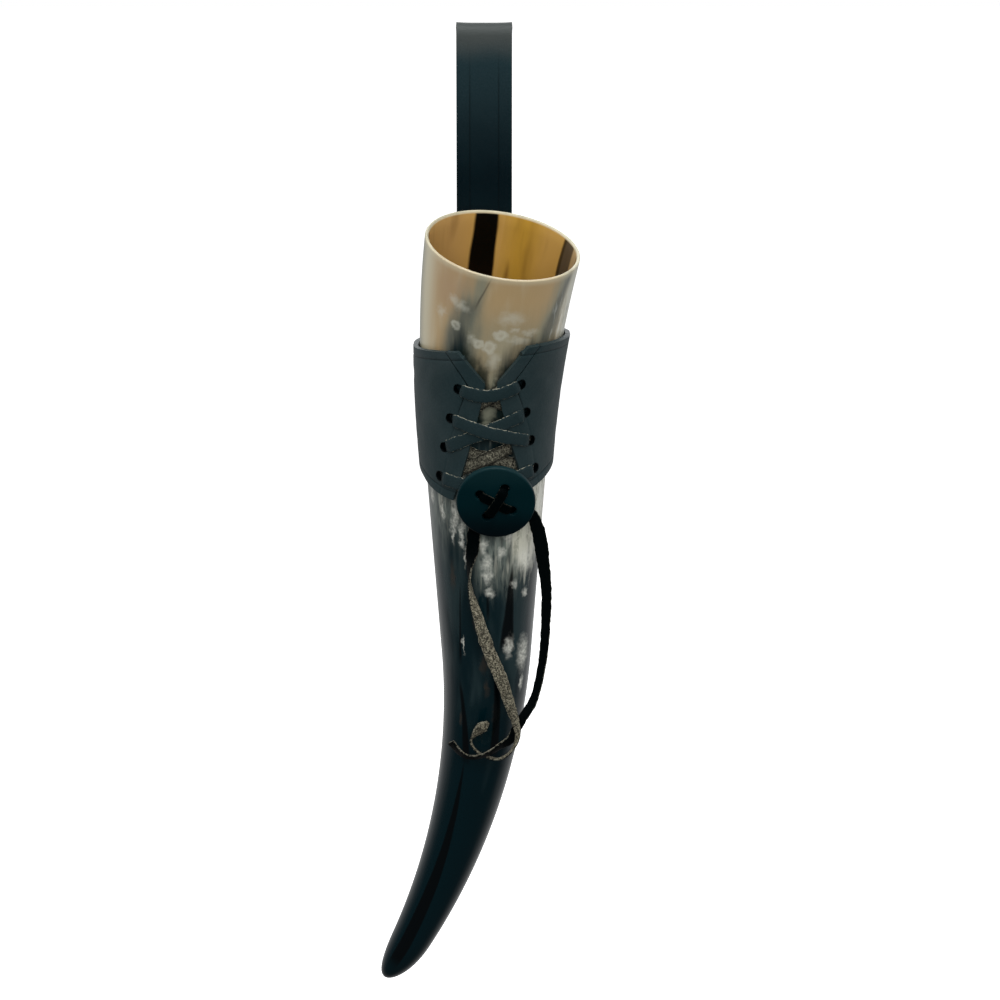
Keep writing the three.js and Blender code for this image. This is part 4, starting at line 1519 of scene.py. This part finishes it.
@dataclass
class CuffPiece:
    """The cuff: a sheet from the left flap's edge round the back to the right one's.

    It is grooved along its borders and creases, punched and thickened.
    """

    rows: int = 78
    flap_columns: int = 36
    back_columns: int = 66
    border: float = 0.004
    border_rows: int = 7
    groove: float = 0.00045
    groove_depth: float = 0.00035
    groove_row: int = 4
    border_edge: tuple[float, ...] = (0.0, 0.0012, 0.0026)
    border_end: float = 0.006
    crease_columns: int = 10
    crease_deep: float = 2.2
    crease_shallow: float = 0.6
    crease_slope: float = 3.2
    crease_delay: float = 0.5
    crease_rows: int = 3
    crease_steps: tuple[float, ...] = (0.006, 0.0076, 0.0094, 0.01, 0.0085, 0.0072)
    column_step: float = 0.0008
    rounding: float = 0.0005
    rivet_hole: float = 0.0017
    angle_steps: int = 180
    lift: float = 0.004
    lift_power: int = 5
    flap_least: float = -0.6
    flap_most: float = 1.3
    lump: float = 0.0003
    lump_grain: tuple[float, float, float] = (4.0, 0.09, 3.0)
    # The cuff's leather, with painted shadow in its creases, border grooves and holes.
    leather: Leather = Leather(
        "cuff_leather", colour(33, 50, 53), colour(52, 65, 67), rough=0.54, pebble=0.00009,
        creases=(10, 128), crease_fade=(14, 46), borders=(4, 74),
    )

    def __post_init__(self) -> None:
        """Works out the top and bottom edges once for all angles."""
        turns = range(self.angle_steps + 1)
        self.columns = 2 * self.flap_columns + self.back_columns
        self.tops = [self.edge_station(number, CUFF.top_height) for number in turns]
        self.bottoms = [self.edge_station(number, self.bottom_height) for number in turns]
        self.flaps: dict[tuple[int, Side], float] = {}

    def bottom_height(self, angle: float) -> float:
        """Height of the bottom edge, which is cut a little higher at the left."""
        return CUFF.bottom_height(angle) + self.lift * max(0.0, -math.sin(angle)) ** self.lift_power

    def edge_station(self, number: int, height: Callable[[float], float]) -> float:
        """The station of an edge at a numbered angle."""
        angle = FULL_TURN * number / self.angle_steps
        return HORN.station_at(angle, CUFF.outside(angle), height(angle))

    def known(self, table: Sequence[float], angle: float) -> float:
        """A station between the angles that were worked out.

        Args:
            table: The stations at the numbered angles.
            angle: Turn from the front.

        Returns:
            The station.
        """
        place = angle / FULL_TURN % 1 * self.angle_steps
        first = min(int(place), self.angle_steps - 1)
        return mix(table[first], table[first + 1], place - first)

    def station(self, row: int, angle: float) -> float:
        """The station of a row: close rows in the two borders, even ones between them.

        Args:
            row: The row from the top.
            angle: Turn from the front.

        Returns:
            The station.
        """
        top, bottom = self.known(self.tops, angle), self.known(self.bottoms, angle)
        groove = (self.border - self.groove, self.border, self.border + self.groove)
        near = (*self.border_edge, *groove, self.border_end)
        if row < self.border_rows:
            return top + near[row]
        if row > self.rows - self.border_rows:
            return bottom - near[self.rows - row]
        share = (row - self.border_rows + 1) / (self.rows - 2 * self.border_rows + 2)
        return mix(top + near[-1], bottom - near[-1], share)

    def flap(self, row: int, side: Side) -> float:
        """The angle of a flap's edge at a row.

        Args:
            row: The row from the top.
            side: Which flap.

        Returns:
            The angle from the front.
        """
        if (row, side) not in self.flaps:
            def beyond(size: float) -> bool:
                """Whether an angle of a size lies past the flap's edge.

                Args:
                    size: The angle, counted towards the flap's side.

                Returns:
                    True past the edge.
                """
                angle = size * side.value
                place = HORN.off(angle, self.station(row, angle), CUFF.outside(angle))
                return (place.x - CUFF.edge_x(place.z, side)) * side.value > 0

            self.flaps[row, side] = side.value * bisect(self.flap_least, self.flap_most, beyond)
        return self.flaps[row, side]

    def crease(self, row: int) -> float:
        """How far a flap's crease lies from its edge.

        Args:
            row: The row from the top.

        Returns:
            The distance.
        """
        place = clamp(row / self.rows) * (len(self.crease_steps) - 1)
        first = min(int(place), len(self.crease_steps) - 2)
        return mix(self.crease_steps[first], self.crease_steps[first + 1], place - first)

    def reach(self, row: int, column: int) -> float:
        """How far a column near a flap lies from the flap's edge.

        Args:
            row: The row from the top.
            column: The column from the left flap's edge.

        Returns:
            The distance.
        """
        crease = self.crease(row)
        if column < self.crease_columns - 1:
            return (crease - self.groove) * column / (self.crease_columns - 1)
        beside = column - self.crease_columns
        if beside <= 1:
            return crease + self.groove * beside
        return crease + self.groove + self.column_step * (beside - 1)

    def angle(self, row: int, column: int) -> float:
        """The angle of a grid point, which falls from the left flap round the back to the right one.

        Args:
            row: The row from the top.
            column: The column from the left flap's edge.

        Returns:
            The angle from the front.
        """
        radius = HORN.radius(self.station(row, 0)) + CUFF.outside(0)
        left, right = self.flap(row, Side.LEFT), self.flap(row, Side.RIGHT) - FULL_TURN
        if column <= self.flap_columns:
            return left - self.reach(row, column) / radius
        if column >= self.columns - self.flap_columns:
            return right + self.reach(row, self.columns - column) / radius
        far = self.reach(row, self.flap_columns) / radius
        return mix(left - far, right + far, (column - self.flap_columns) / self.back_columns)

    def sunk(self, row: int, column: int) -> float:
        """How deep a grid point lies in a groove.

        Args:
            row: The row from the top.
            column: The column from the left flap's edge.

        Returns:
            The depth.
        """
        depth = 0.0
        if row in (self.groove_row, self.rows - self.groove_row):
            depth = self.groove_depth
        if self.crease_columns in (column, self.columns - column):
            fade = ease(row / self.rows * self.crease_slope - self.crease_delay)
            deep = mix(self.crease_deep, self.crease_shallow, fade) * clamp(row / self.crease_rows)
            depth = max(depth, self.groove_depth * deep)
        return depth

    def place(self, point: Vector) -> Vector:
        """A grid point's place on the cuff.

        Args:
            point: The grid point, by column and row.

        Returns:
            The place.
        """
        column, row = round(point.x), round(point.y)
        angle = self.angle(row, column)
        around, down, layer = self.lump_grain
        lump = self.lump * noise.noise(Vector((angle * around, row * down, layer)))
        off = CUFF.outside(angle) - self.sunk(row, column) - max(lump, 0)
        return HORN.off(angle, self.station(row, angle), off)

    def build(self) -> None:
        """Makes the cuff."""
        made = sheet(self.columns, self.rows)
        carry(made, self.place, "sheet")
        for side in Side:
            for row in range(CUFF.hole_rows):
                angle, station = CUFF.hole(row, side)
                centre = HORN.off(angle, station, CUFF.outside(angle))
                punch(made, centre, HORN.outward(angle, station), CUFF.hole_radius)
        back = CUFF.outside(math.pi)
        for height in rivet_heights():
            station = HORN.station_at(math.pi, back, height)
            punch(made, HORN.off(math.pi, station, back), Vector((0, 1, 0)), self.rivet_hole)
        piece = Piece("leather_cuff", "holder", "cuff_leather", ("cuff",), sharp=60)
        thing = piece.put(made, self.leather.material())
        thicken(thing, CUFF.thickness, self.rounding)


@dataclass
class StrapPiece:
    """The belt strap: up behind the cuff, over the top as a loop, and down again to its other end."""

    half_width: float = 0.0125
    thickness: float = 0.0025
    bottom: float = -0.184
    fold_height: float = -0.003
    fold_radius: float = 0.0055
    loop_end: float = -0.073
    bend_middle: float = -0.09
    join_height: float = -0.107
    join_y: float = -0.0002
    step: float = 0.0011
    fold_steps: int = 24
    bend_steps: int = 30
    groove_x: float = 0.0065
    groove: float = 0.0006
    groove_depth: float = 0.0002
    smile: float = 0.0003
    smile_power: int = 4
    groove_fade: float = 0.03
    middle_columns: int = 9
    side_columns: int = 6
    rivet_hole: float = 0.0018
    rounding: float = 0.0007
    # Painted top light makes the strap paler towards its top fold; painted shadow darkens its grooves and
    # rivet holes.
    leather: Leather = Leather(
        "strap_leather", colour(0, 14, 20), colour(0, 20, 26), rough=0.5, pebble=0.00008, shine=0.2,
        painted_top_lights=(PaintedTopLight(colour(27, 46, 51), -0.070, -0.006), PaintedTopLight(colour(66, 71, 70), -0.017, -0.001)),
        creases=(7, 27), crease_fade=(140, 164), crease_shadow_share=0.45,
    )

    def run(self, y: float, start: float, end: float) -> list[Vector]:
        """Even points straight up or down, between two heights."""
        count = round(abs(end - start) / self.step)
        return [Vector((0, y, mix(start, end, number / count))) for number in range(count)]

    def profile(self) -> list[Vector]:
        """The strap's outer face seen from the side.

        Returns:
            Points from its front end to its back end.
        """
        path = self.run(-self.fold_radius, self.bottom, self.fold_height)
        for number in range(self.fold_steps):
            angle = math.pi * number / self.fold_steps
            path.append(Vector((0, -math.cos(angle), math.sin(angle))) * self.fold_radius)
            path[-1].z += self.fold_height
        path += self.run(self.fold_radius, self.fold_height, self.loop_end)
        for number in range(self.bend_steps):
            share = number / self.bend_steps
            near, far = (1 - share) ** 3, share ** 3
            middle = 1 - near - far
            height = near * self.loop_end + middle * self.bend_middle + far * self.join_height
            path.append(Vector((0, mix(self.fold_radius, self.join_y, ease(share)), height)))
        path += self.run(self.join_y, self.join_height, self.bottom)
        return path + [Vector((0, self.join_y, self.bottom))]

    def columns(self) -> list[float]:
        """Places across the strap, close together at its grooves.

        Returns:
            The places, from left to right.
        """
        inner = self.groove_x - self.groove
        outer = self.groove_x + self.groove
        half = [inner * number / self.middle_columns for number in range(1, self.middle_columns + 1)]
        half.append(self.groove_x)
        beside = range(self.side_columns + 1)
        half += [mix(outer, self.half_width, number / self.side_columns) for number in beside]
        return [-place for place in reversed(half)] + [0.0] + half

    def build(self) -> None:
        """Makes the strap."""
        path, columns = self.profile(), self.columns()

        def place(point: Vector) -> Vector:
            """A grid point's place on the strap.

            Args:
                point: The grid point, by column and row.

            Returns:
                The place.
            """
            x, row = columns[round(point.x)], round(point.y)
            along = path[min(row + 1, len(path) - 1)] - path[max(row - 1, 0)]
            out = Vector((1, 0, 0)).cross(along).normalized()
            fade = ease((self.fold_height - path[row].z) / self.groove_fade)
            depth = self.groove_depth * fade if abs(abs(x) - self.groove_x) < self.groove / 2 else 0
            rise = clamp((path[row].z - self.fold_height) / self.fold_radius)
            curl = self.smile * (x / self.half_width) ** self.smile_power * rise
            return path[row] + Vector((x, 0, curl)) - out * depth

        made = sheet(len(columns) - 1, len(path) - 1)
        carry(made, place, "sheet")
        for height in rivet_heights():
            for y in (-self.fold_radius, self.join_y):
                punch(made, Vector((0, y, height)), Vector((0, 1, 0)), self.rivet_hole)
        piece = Piece("belt_strap_leather", "holder", "strap_leather", ("belt_strap",), sharp=60)
        thicken(piece.put(made, self.leather.material()), self.thickness, self.rounding)


class RivetPart(Enum):
    """The two halves of a rivet."""

    POST = "post"
    CAP = "cap"


@dataclass
class RivetPieces:
    """The rivets behind the cuff: domed heads, seen along Y."""

    facets: int = 48
    dome: tuple[tuple[float, float], ...] = (
        (0.0, 1.0), (0.3, 0.98), (0.55, 0.88), (0.75, 0.72),
        (0.9, 0.5), (0.98, 0.28), (1.0, 0.12), (1.0, 0.0),
    )
    head_thickness: float = 0.0009
    post_radius: float = 0.0015

    def build(self) -> None:
        """Makes both rivets."""
        brass = AgedBrass().material()
        for height in ("upper", "lower"):
            for part in RivetPart:
                self.half(height, part, brass)

    def half(self, height: str, part: RivetPart, brass: bpy.types.Material) -> None:
        """Makes one half of a rivet from its box.

        Args:
            height: Which rivet.
            part: Which half.
            brass: Its finish.
        """
        node = f"rivet_{height}_{part.value}"
        low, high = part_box(node)
        middle = (low + high) / 2
        radius = (high.x - low.x) / 2
        rise = self.head_thickness
        if part is RivetPart.CAP:
            section = [(share * radius, high.y - (1 - up) * rise) for share, up in self.dome] + [(0, low.y)]
        else:
            section = [(share * radius, low.y + (1 - up) * rise) for share, up in self.dome]
            section += [(self.post_radius, low.y + rise), (self.post_radius, high.y), (0, high.y)]
        made = turned(section, self.facets)
        carry(made, lambda point: Vector((middle.x + point.x, point.z, middle.z - point.y)))
        face_out(made)
        Piece(f"{node}_brass", "holder", "rivet_brass", (node,), sharp=30).put(made, brass)


@dataclass
class CuffLacing:
    """The lace in the cuff: in at the lowest left hole, up in crosses and down to the lowest right one."""

    rest: float = 0.00078
    inner: float = 0.00115
    over: float = 0.0016
    sag: float = 0.0035
    inset: float = 0.0008
    broad: float = 1.3
    shares: tuple[float, ...] = (0.06, 0.15, 0.28, 0.4, 0.5, 0.6, 0.72, 0.85, 0.94)

    def outer(self, angle: float, station: float, lift: float = 0.0) -> Stop:
        """A stop on the cuff, with the lace's grain side out."""
        distance = CUFF.outside(angle) + self.rest + lift
        return Stop(HORN.off(angle, station, distance), HORN.outward(angle, station), broad=self.broad)

    def within(self, angle: float, station: float, lift: float = 0.0) -> Stop:
        """A stop between the cuff and the horn, with the lace's grain side in."""
        place = HORN.off(angle, station, self.inner + lift)
        return Stop(place, -HORN.outward(angle, station), broad=self.broad)

    def spot(self, row: int, side: Side) -> tuple[float, float]:
        """Angle and station where the lace runs through a hole, at the hole's inner side."""
        angle, station = CUFF.hole(row, side)
        return angle - side.value * self.inset / HORN.radius(station), station

    def hole(self, row: int, side: Side) -> Stop:
        """A stop inside a lace hole."""
        angle, station = self.spot(row, side)
        return Stop(HORN.off(angle, station, CUFF.clearance(angle) + CUFF.thickness / 2), pinch=1.0)

    def span(self, first: tuple[int, Side], last: tuple[int, Side], make: Callable[..., Stop], lift: float,
             sag: float) -> list[Stop]:
        """The stops from one hole to another.

        Args:
            first: Row and side of the first hole, which is left out.
            last: Row and side of the last hole, which is the last stop.
            make: Makes a stop on one side of the leather.
            lift: How far the lace rises in the middle.
            sag: How far it hangs down in the middle.

        Returns:
            The stops.
        """
        (angle, station), (far_angle, far_station) = self.spot(*first), self.spot(*last)
        stops = []
        for share in self.shares:
            bulge = math.sin(math.pi * share)
            down = mix(station, far_station, share) + sag * bulge
            stops.append(make(mix(angle, far_angle, share), down, lift * bulge ** 2))
        return stops + [self.hole(*last)]

    def route(self) -> list[Stop]:
        """The whole way from the lowest left hole to the lowest right one.

        Returns:
            The stops.
        """
        left, right = Side.LEFT, Side.RIGHT
        here = (CUFF.hole_rows - 1, left)
        stops = [self.hole(*here)]
        for there, make, lift, sag in (
            ((2, right), self.within, self.over, 0.0),
            ((1, left), self.outer, self.over, 0.0),
            ((0, right), self.within, self.over, 0.0),
            ((0, left), self.outer, 0.0, self.sag),
            ((1, right), self.within, 0.0, 0.0),
            ((2, left), self.outer, 0.0, 0.0),
            ((3, right), self.within, 0.0, 0.0),
        ):
            stops += self.span(here, there, make, lift, sag)
            here = there
        return stops

    def build(self, leather: bpy.types.Material) -> None:
        """Makes the lacing."""
        piece = Piece("cuff_lacing", "holder", "lace_leather", ("cuff_lace",), sharp=80)
        piece.put(Ribbon(self.route()).build(), leather)


@dataclass
class ButtonPieces:
    """The button, the lace that crosses it, the leads from the cuff and the tails that hang from it."""

    rim_facets: int = 96
    hole_facets: int = 24
    lane: float = 0.0024
    back_lane: float = 0.0027
    over: float = 0.0013
    step_aside: float = 0.0017
    edge_segments: int = 4
    squeeze: float = 0.6
    strand_shares: tuple[float, ...] = (0.12, 0.27, 0.42, 0.5, 0.58, 0.73, 0.88)
    lead_shares: tuple[float, ...] = (0.14, 0.32, 0.5, 0.68)
    # Painted top light makes the disc paler towards its top.
    leather: Leather = Leather(
        "button_leather", colour(0, 9, 14), colour(1, 13, 18), rough=0.5, pebble=0.00006, shine=0.2,
        painted_top_lights=(PaintedTopLight(colour(0, 31, 36), -0.219, -0.202), PaintedTopLight(colour(16, 44, 48), -0.198, -0.184)),
    )

    def build(self, lacing: CuffLacing, lace: bpy.types.Material, black: bpy.types.Material,
              cross: bpy.types.Material) -> None:
        """Makes the disc, the strands, the leads and the tails.

        Args:
            lacing: The lacing that the leads come from.
            lace: The leads' finish.
            black: The tails' finish.
            cross: The strands' finish.
        """
        self.disc()
        self.strand("over", ButtonHole.UPPER_RIGHT, ButtonHole.LOWER_LEFT, LEFT_TAIL, self.over, cross)
        self.strand("under", ButtonHole.UPPER_LEFT, ButtonHole.LOWER_RIGHT, RIGHT_TAIL, 0.0, cross)
        self.lead(lacing, Side.LEFT, ButtonHole.UPPER_LEFT, ButtonHole.LOWER_RIGHT, lace)
        self.lead(lacing, Side.RIGHT, ButtonHole.UPPER_RIGHT, ButtonHole.LOWER_LEFT, lace)
        for tail in (LEFT_TAIL, RIGHT_TAIL):
            tail.build(black)

    def disc(self) -> None:
        """Makes the leather disc."""
        made = bmesh.new()
        bmesh.ops.create_circle(made, segments=self.rim_facets, radius=BUTTON.radius)
        for hole in ButtonHole:
            move = Matrix.Translation(BUTTON.hole(hole.value))
            bmesh.ops.create_circle(made, segments=self.hole_facets, radius=BUTTON.hole_radius, matrix=move)
        filling = {"use_beauty": True, "use_dissolve": False, "normal": (0, 0, 1)}
        bmesh.ops.triangle_fill(made, edges=made.edges, **filling)
        for face in made.faces:
            if face.normal.z < 0:
                face.normal_flip()
        carry(made, lambda point: BUTTON.point(point.x, point.y, BUTTON.thickness / 2))
        piece = Piece("button_disc", "button", "button_leather", ("lace_button",), sharp=50)
        thicken(piece.put(made, self.leather.material()), BUTTON.thickness, BUTTON.edge, self.edge_segments)

    def behind(self, hole: ButtonHole, other: ButtonHole) -> Stop:
        """A stop behind a hole, a little further out than the hole seen from the one across the disc.

        Args:
            hole: The hole.
            other: The hole across the disc.

        Returns:
            The stop.
        """
        place = BUTTON.hole(hole.value)
        aside = (place - BUTTON.hole(other.value)).normalized() * self.step_aside
        place = BUTTON.point(place.x + aside.x, place.y + aside.y, -self.back_lane)
        return Stop(place, BUTTON.out(), self.squeeze)

    def strand(self, name: str, first: ButtonHole, last: ButtonHole, tail: "Tail", lift: float,
               lace: bpy.types.Material) -> None:
        """Makes a strand across the disc's face.

        Args:
            name: Which strand.
            first: The hole that it comes out of.
            last: The hole that it goes into.
            tail: The tail that carries on from it.
            lift: How far it rises in the middle.
            lace: Its finish.
        """
        start, end = BUTTON.hole(first.value), BUTTON.hole(last.value)
        stops = [self.behind(first, last), Stop(BUTTON.point(start.x, start.y, 0), pinch=1.0)]
        for share in self.strand_shares:
            place = start.lerp(end, share)
            out = self.lane + lift * math.sin(math.pi * share) ** 2
            stops.append(Stop(BUTTON.point(place.x, place.y, out), BUTTON.out()))
        stops.append(Stop(BUTTON.point(end.x, end.y, 0), pinch=1.0))
        stops.append(tail.stops()[0])
        piece = Piece(f"lace_{name}_button", "button", "lace_leather", (f"button_lace_{name}",), sharp=80)
        piece.put(Ribbon(stops).build(), lace)

    def lead(self, lacing: CuffLacing, side: Side, hole: ButtonHole, other: ButtonHole,
             lace: bpy.types.Material) -> None:
        """Makes a lead from the cuff's lowest hole to the button.

        Args:
            lacing: The lacing that it comes from.
            side: Which lead.
            hole: The button hole that it goes to.
            other: The button hole across the disc from it.
            lace: Its finish.
        """
        lowest = CUFF.hole_rows - 1
        angle, station = lacing.spot(lowest, side)
        end = self.behind(hole, other)
        away = end.place - HORN.centre(station)
        far_angle = math.atan2(away.x, -away.y)
        far_station = HORN.station_at(far_angle, CUFF.outside(far_angle), end.place.z)
        stops = [lacing.hole(lowest, side)]
        for share in self.lead_shares:
            stops.append(lacing.outer(mix(angle, far_angle, share), mix(station, far_station, share)))
        stops.append(end)
        word = side.name.lower()
        piece = Piece(f"lace_lead_{word}_strand", "holder", "lace_leather", (f"lace_lead_{word}",), sharp=80)
        thing = piece.mesh(Ribbon(stops).build(), lace)
        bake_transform(thing)


@dataclass(frozen=True)
class Tail:
    """A hanging end of the lace: its route in millimetres from the horn's axis, and its twist.

    A roll of 0 shows the grain side at the front, 180 the suede side and 90 an edge.
    """

    name: str
    slot: str
    route: tuple[tuple[float, float, float], ...]
    rolls: tuple[float, ...]
    broads: tuple[float, ...]

    def stops(self) -> list[Stop]:
        """The route's stops with their facing.

        Returns:
            The stops.
        """
        places = [Vector(point) / MILLIMETRES + Vector((0, HORN.axis_y, 0)) for point in self.route]
        stops = []
        for number, (place, roll, broad) in enumerate(zip(places, self.rolls, self.broads)):
            along = places[min(number + 1, len(places) - 1)] - places[max(number - 1, 0)]
            along.normalize()
            front = Vector((0, -1, 0)) - along * -along.y
            turn = Matrix.Rotation(math.radians(roll), 3, along)
            stops.append(Stop(place, turn @ front.normalized(), broad=broad))
        return stops

    def build(self, lace: bpy.types.Material) -> None:
        """Makes the tail as a limp lace.

        Args:
            lace: Its finish.
        """
        ribbon = Ribbon(self.stops())
        piece = Piece(f"{self.name}_end", "button", self.slot, (self.name,), sharp=80)
        thing = piece.put(ribbon.build(), lace)
        ribbon.length()
        LOG.info("%s: %.0f mm of lace", self.name, ribbon.length() * MILLIMETRES)


LEFT_TAIL = Tail(
    "lace_tail_left",
    "lace_suede",
    (
        (0, -28.5, -209.5), (-4, -26.8, -215.5), (-5, -27, -224), (-6.5, -27.5, -234),
        (-6, -28, -243), (-3, -28.5, -254), (0.5, -29, -265.5), (3, -29, -272.5),
        (6, -29, -279.5), (9, -29, -287.5), (11.5, -28.5, -295.5), (14, -28.5, -303.5),
        (15, -28.5, -309.5), (13.5, -28, -315), (10, -27.2, -319.5), (6, -26, -321.5),
        (0.5, -25, -320.5), (-4, -25, -317.5), (-6, -25, -313.5), (-3.4, -26, -309.4),
        (-0.8, -27, -306.2), (1.9, -28, -303.8),
    ),
    (
        0, 0, 10, 70, 110, 145, 175, 180, 180, 180, 185,
        205, 240, 268, 274, 276, 276, 276, 270, 225, 190, 180,
    ),
    (
        1, 1.3, 1.3, 1, 1, 1.1, 1.25, 1.3, 1.3, 1.2, 1.1,
        0.9, 0.9, 0.9, 0.9, 0.8, 0.75, 0.7, 0.7, 1.15, 1.3, 0.4,
    ),
)
RIGHT_TAIL = Tail(
    "lace_tail_right",
    "lace_leather",
    (
        (15, -29.6, -205.5), (20.5, -28.2, -208), (23.6, -28, -214.5), (25.2, -27.5, -222.5),
        (26.4, -27, -231.5), (27.7, -27, -243), (27.6, -26.5, -254.5), (27.1, -26.5, -266),
        (25.8, -26, -278), (24, -25.5, -287.5), (21.3, -25.5, -296), (17.2, -25.5, -302.5),
        (14.5, -25, -307.5), (12, -25, -312.5), (7, -26.2, -315.5), (1, -28.5, -318.5),
        (-5.5, -28.5, -320), (-10, -28.5, -318.5), (-13, -28, -315.5), (-15, -28, -313),
    ),
    (0, 0, 0, 0, 5, 10, 15, 25, 35, 40, 40, 30, 10, -20, -45, -55, -56, -54, -48, -42),
    (1, 1.1, 1.35, 1.4, 1.25, 1.1, 1, 0.95, 0.95, 0.95, 1, 1, 1, 1, 1, 1, 1, 1, 1, 1),
)


@dataclass(frozen=True)
class Softbox:
    """A soft light: where it stands, its width and height, its watts, and whether gloss mirrors it."""

    name: str
    place: tuple[float, float, float]
    size: tuple[float, float]
    power: float
    mirrored: bool = True


@dataclass
class Studio:
    """A plain white studio with soft lights, and the camera."""

    target: Vector = Vector((0.0071, -0.0389, -0.208))
    distance: float = 1.4
    elevation: float = 12.0
    lens: float = 112.0
    sensor: float = 36.0
    sight: float = 60.0
    floor_height: float = -0.62
    floor_size: float = 12.0
    before: float = 0.05
    behind: float = 0.55
    turn_start: float = -0.25
    turn_end: float = 0.8
    lights: tuple[Softbox, ...] = (
        Softbox("left_softbox", (-1.15, -0.05, -0.05), (1.4, 1.8), 6.0, False),
        Softbox("right_softbox", (1.15, -0.05, -0.05), (1.4, 1.8), 6.0, False),
        Softbox("top_softbox", (0.0, -0.35, 0.9), (0.9, 0.7), 9.0),
        Softbox("front_fill", (0.1, -1.9, 0.5), (1.4, 1.4), 26.0, False),
        Softbox("back_fill", (0.0, 1.4, 0.5), (1.2, 0.9), 6.0),
    )

    def build(self) -> None:
        """Makes the camera, the lights, the floor and the surroundings."""
        self.camera()
        for light in self.lights:
            self.light(light)
        self.floor()
        self.surroundings()
        bpy.context.scene.view_settings.view_transform = "Standard"

    def aim(self, thing: bpy.types.Object, place: Vector) -> None:
        """Stands a camera or light at a place and turns it to the object."""
        thing.location = place
        thing.rotation_euler = (self.target - place).to_track_quat("-Z", "Y").to_euler()

    def camera(self) -> None:
        """Makes the camera at the photograph's angle."""
        lift = math.radians(self.elevation)
        data = bpy.data.cameras.new("camera")
        data.lens = self.lens
        data.sensor_width = self.sensor
        data.clip_end = self.sight
        eye = placed("camera", data)
        self.aim(eye, self.target + Vector((0, -math.cos(lift), math.sin(lift))) * self.distance)
        bpy.context.scene.camera = eye

    def light(self, light: Softbox) -> None:
        """Makes a soft light that faces the object.

        Args:
            light: What it is.
        """
        data = bpy.data.lights.new(light.name, "AREA")
        data.shape = "RECTANGLE"
        data.size, data.size_y = light.size
        data.energy = light.power
        lamp = placed(light.name, data)
        lamp.visible_glossy = light.mirrored
        self.aim(lamp, Vector(light.place))

    def floor(self) -> None:
        """Makes the white floor, which glows a little so that no shadow greys it."""
        made = bmesh.new()
        bmesh.ops.create_grid(made, x_segments=1, y_segments=1, size=self.floor_size)
        bmesh.ops.translate(made, verts=made.verts, vec=(0, 0, self.floor_height))
        data = bpy.data.meshes.new("floor")
        made.to_mesh(data)
        made.free()
        glow = {"Emission_Color": (1, 1, 1), "Emission_Strength": 1.0}
        data.materials.append(Paint("white_floor").finish(Base_Color=(0.8, 0.8, 0.8), Roughness=1.0, **glow))
        ground = placed("floor", data)
        ground.visible_diffuse = False
        ground.visible_glossy = False

    def surroundings(self) -> None:
        """Makes the world white to the camera, and as a light bright behind the object and dim before it."""
        world = bpy.data.worlds.new("studio")
        world.use_nodes = True
        nodes = Nodes(world.node_tree)
        direction = nodes.node("ShaderNodeTexCoord", output="Generated")
        depth = nodes.node("ShaderNodeSeparateXYZ", inputs={0: direction}, output="Y")
        limits = {"From Min": self.turn_start, "From Max": self.turn_end}
        shades = {"To Min": self.before, "To Max": self.behind}
        settings = {"interpolation_type": "SMOOTHSTEP"}
        light = nodes.node("ShaderNodeMapRange", settings, {"Value": depth, **limits, **shades})
        seen = nodes.node("ShaderNodeLightPath", output="Is Camera Ray")
        strength = nodes.node("ShaderNodeMapRange", inputs={"Value": seen, "To Min": light, "To Max": 1.0})
        glow = nodes.node("ShaderNodeBackground", inputs={"Color": (1, 1, 1, 1), "Strength": strength})
        nodes.close("ShaderNodeOutputWorld", glow)
        bpy.context.scene.world = world


def main() -> None:
    """Builds the object, dresses it and sets up the studio."""
    logging.basicConfig(level=logging.INFO)
    for piece in (HornPiece(), CuffPiece(), StrapPiece(), RivetPieces()):
        piece.build()
    lace = LaceLeather(
        "lace_leather", colour(30, 46, 49), edge=0.6, suede=colour(158, 155, 136), hollow=0.92
    ).material()
    black = LaceLeather(
        "black_lace", colour(0, 4, 5), edge=0.25, suede=colour(174, 168, 146), shine=0.12
    ).material()
    cross = LaceLeather("button_lace", colour(0, 4, 5), edge=0.08, shine=0.06).material()
    lacing = CuffLacing()
    lacing.build(lace)
    ButtonPieces().build(lacing, lace, black, cross)
    Studio().build()


if __name__ == "__main__":
    main()
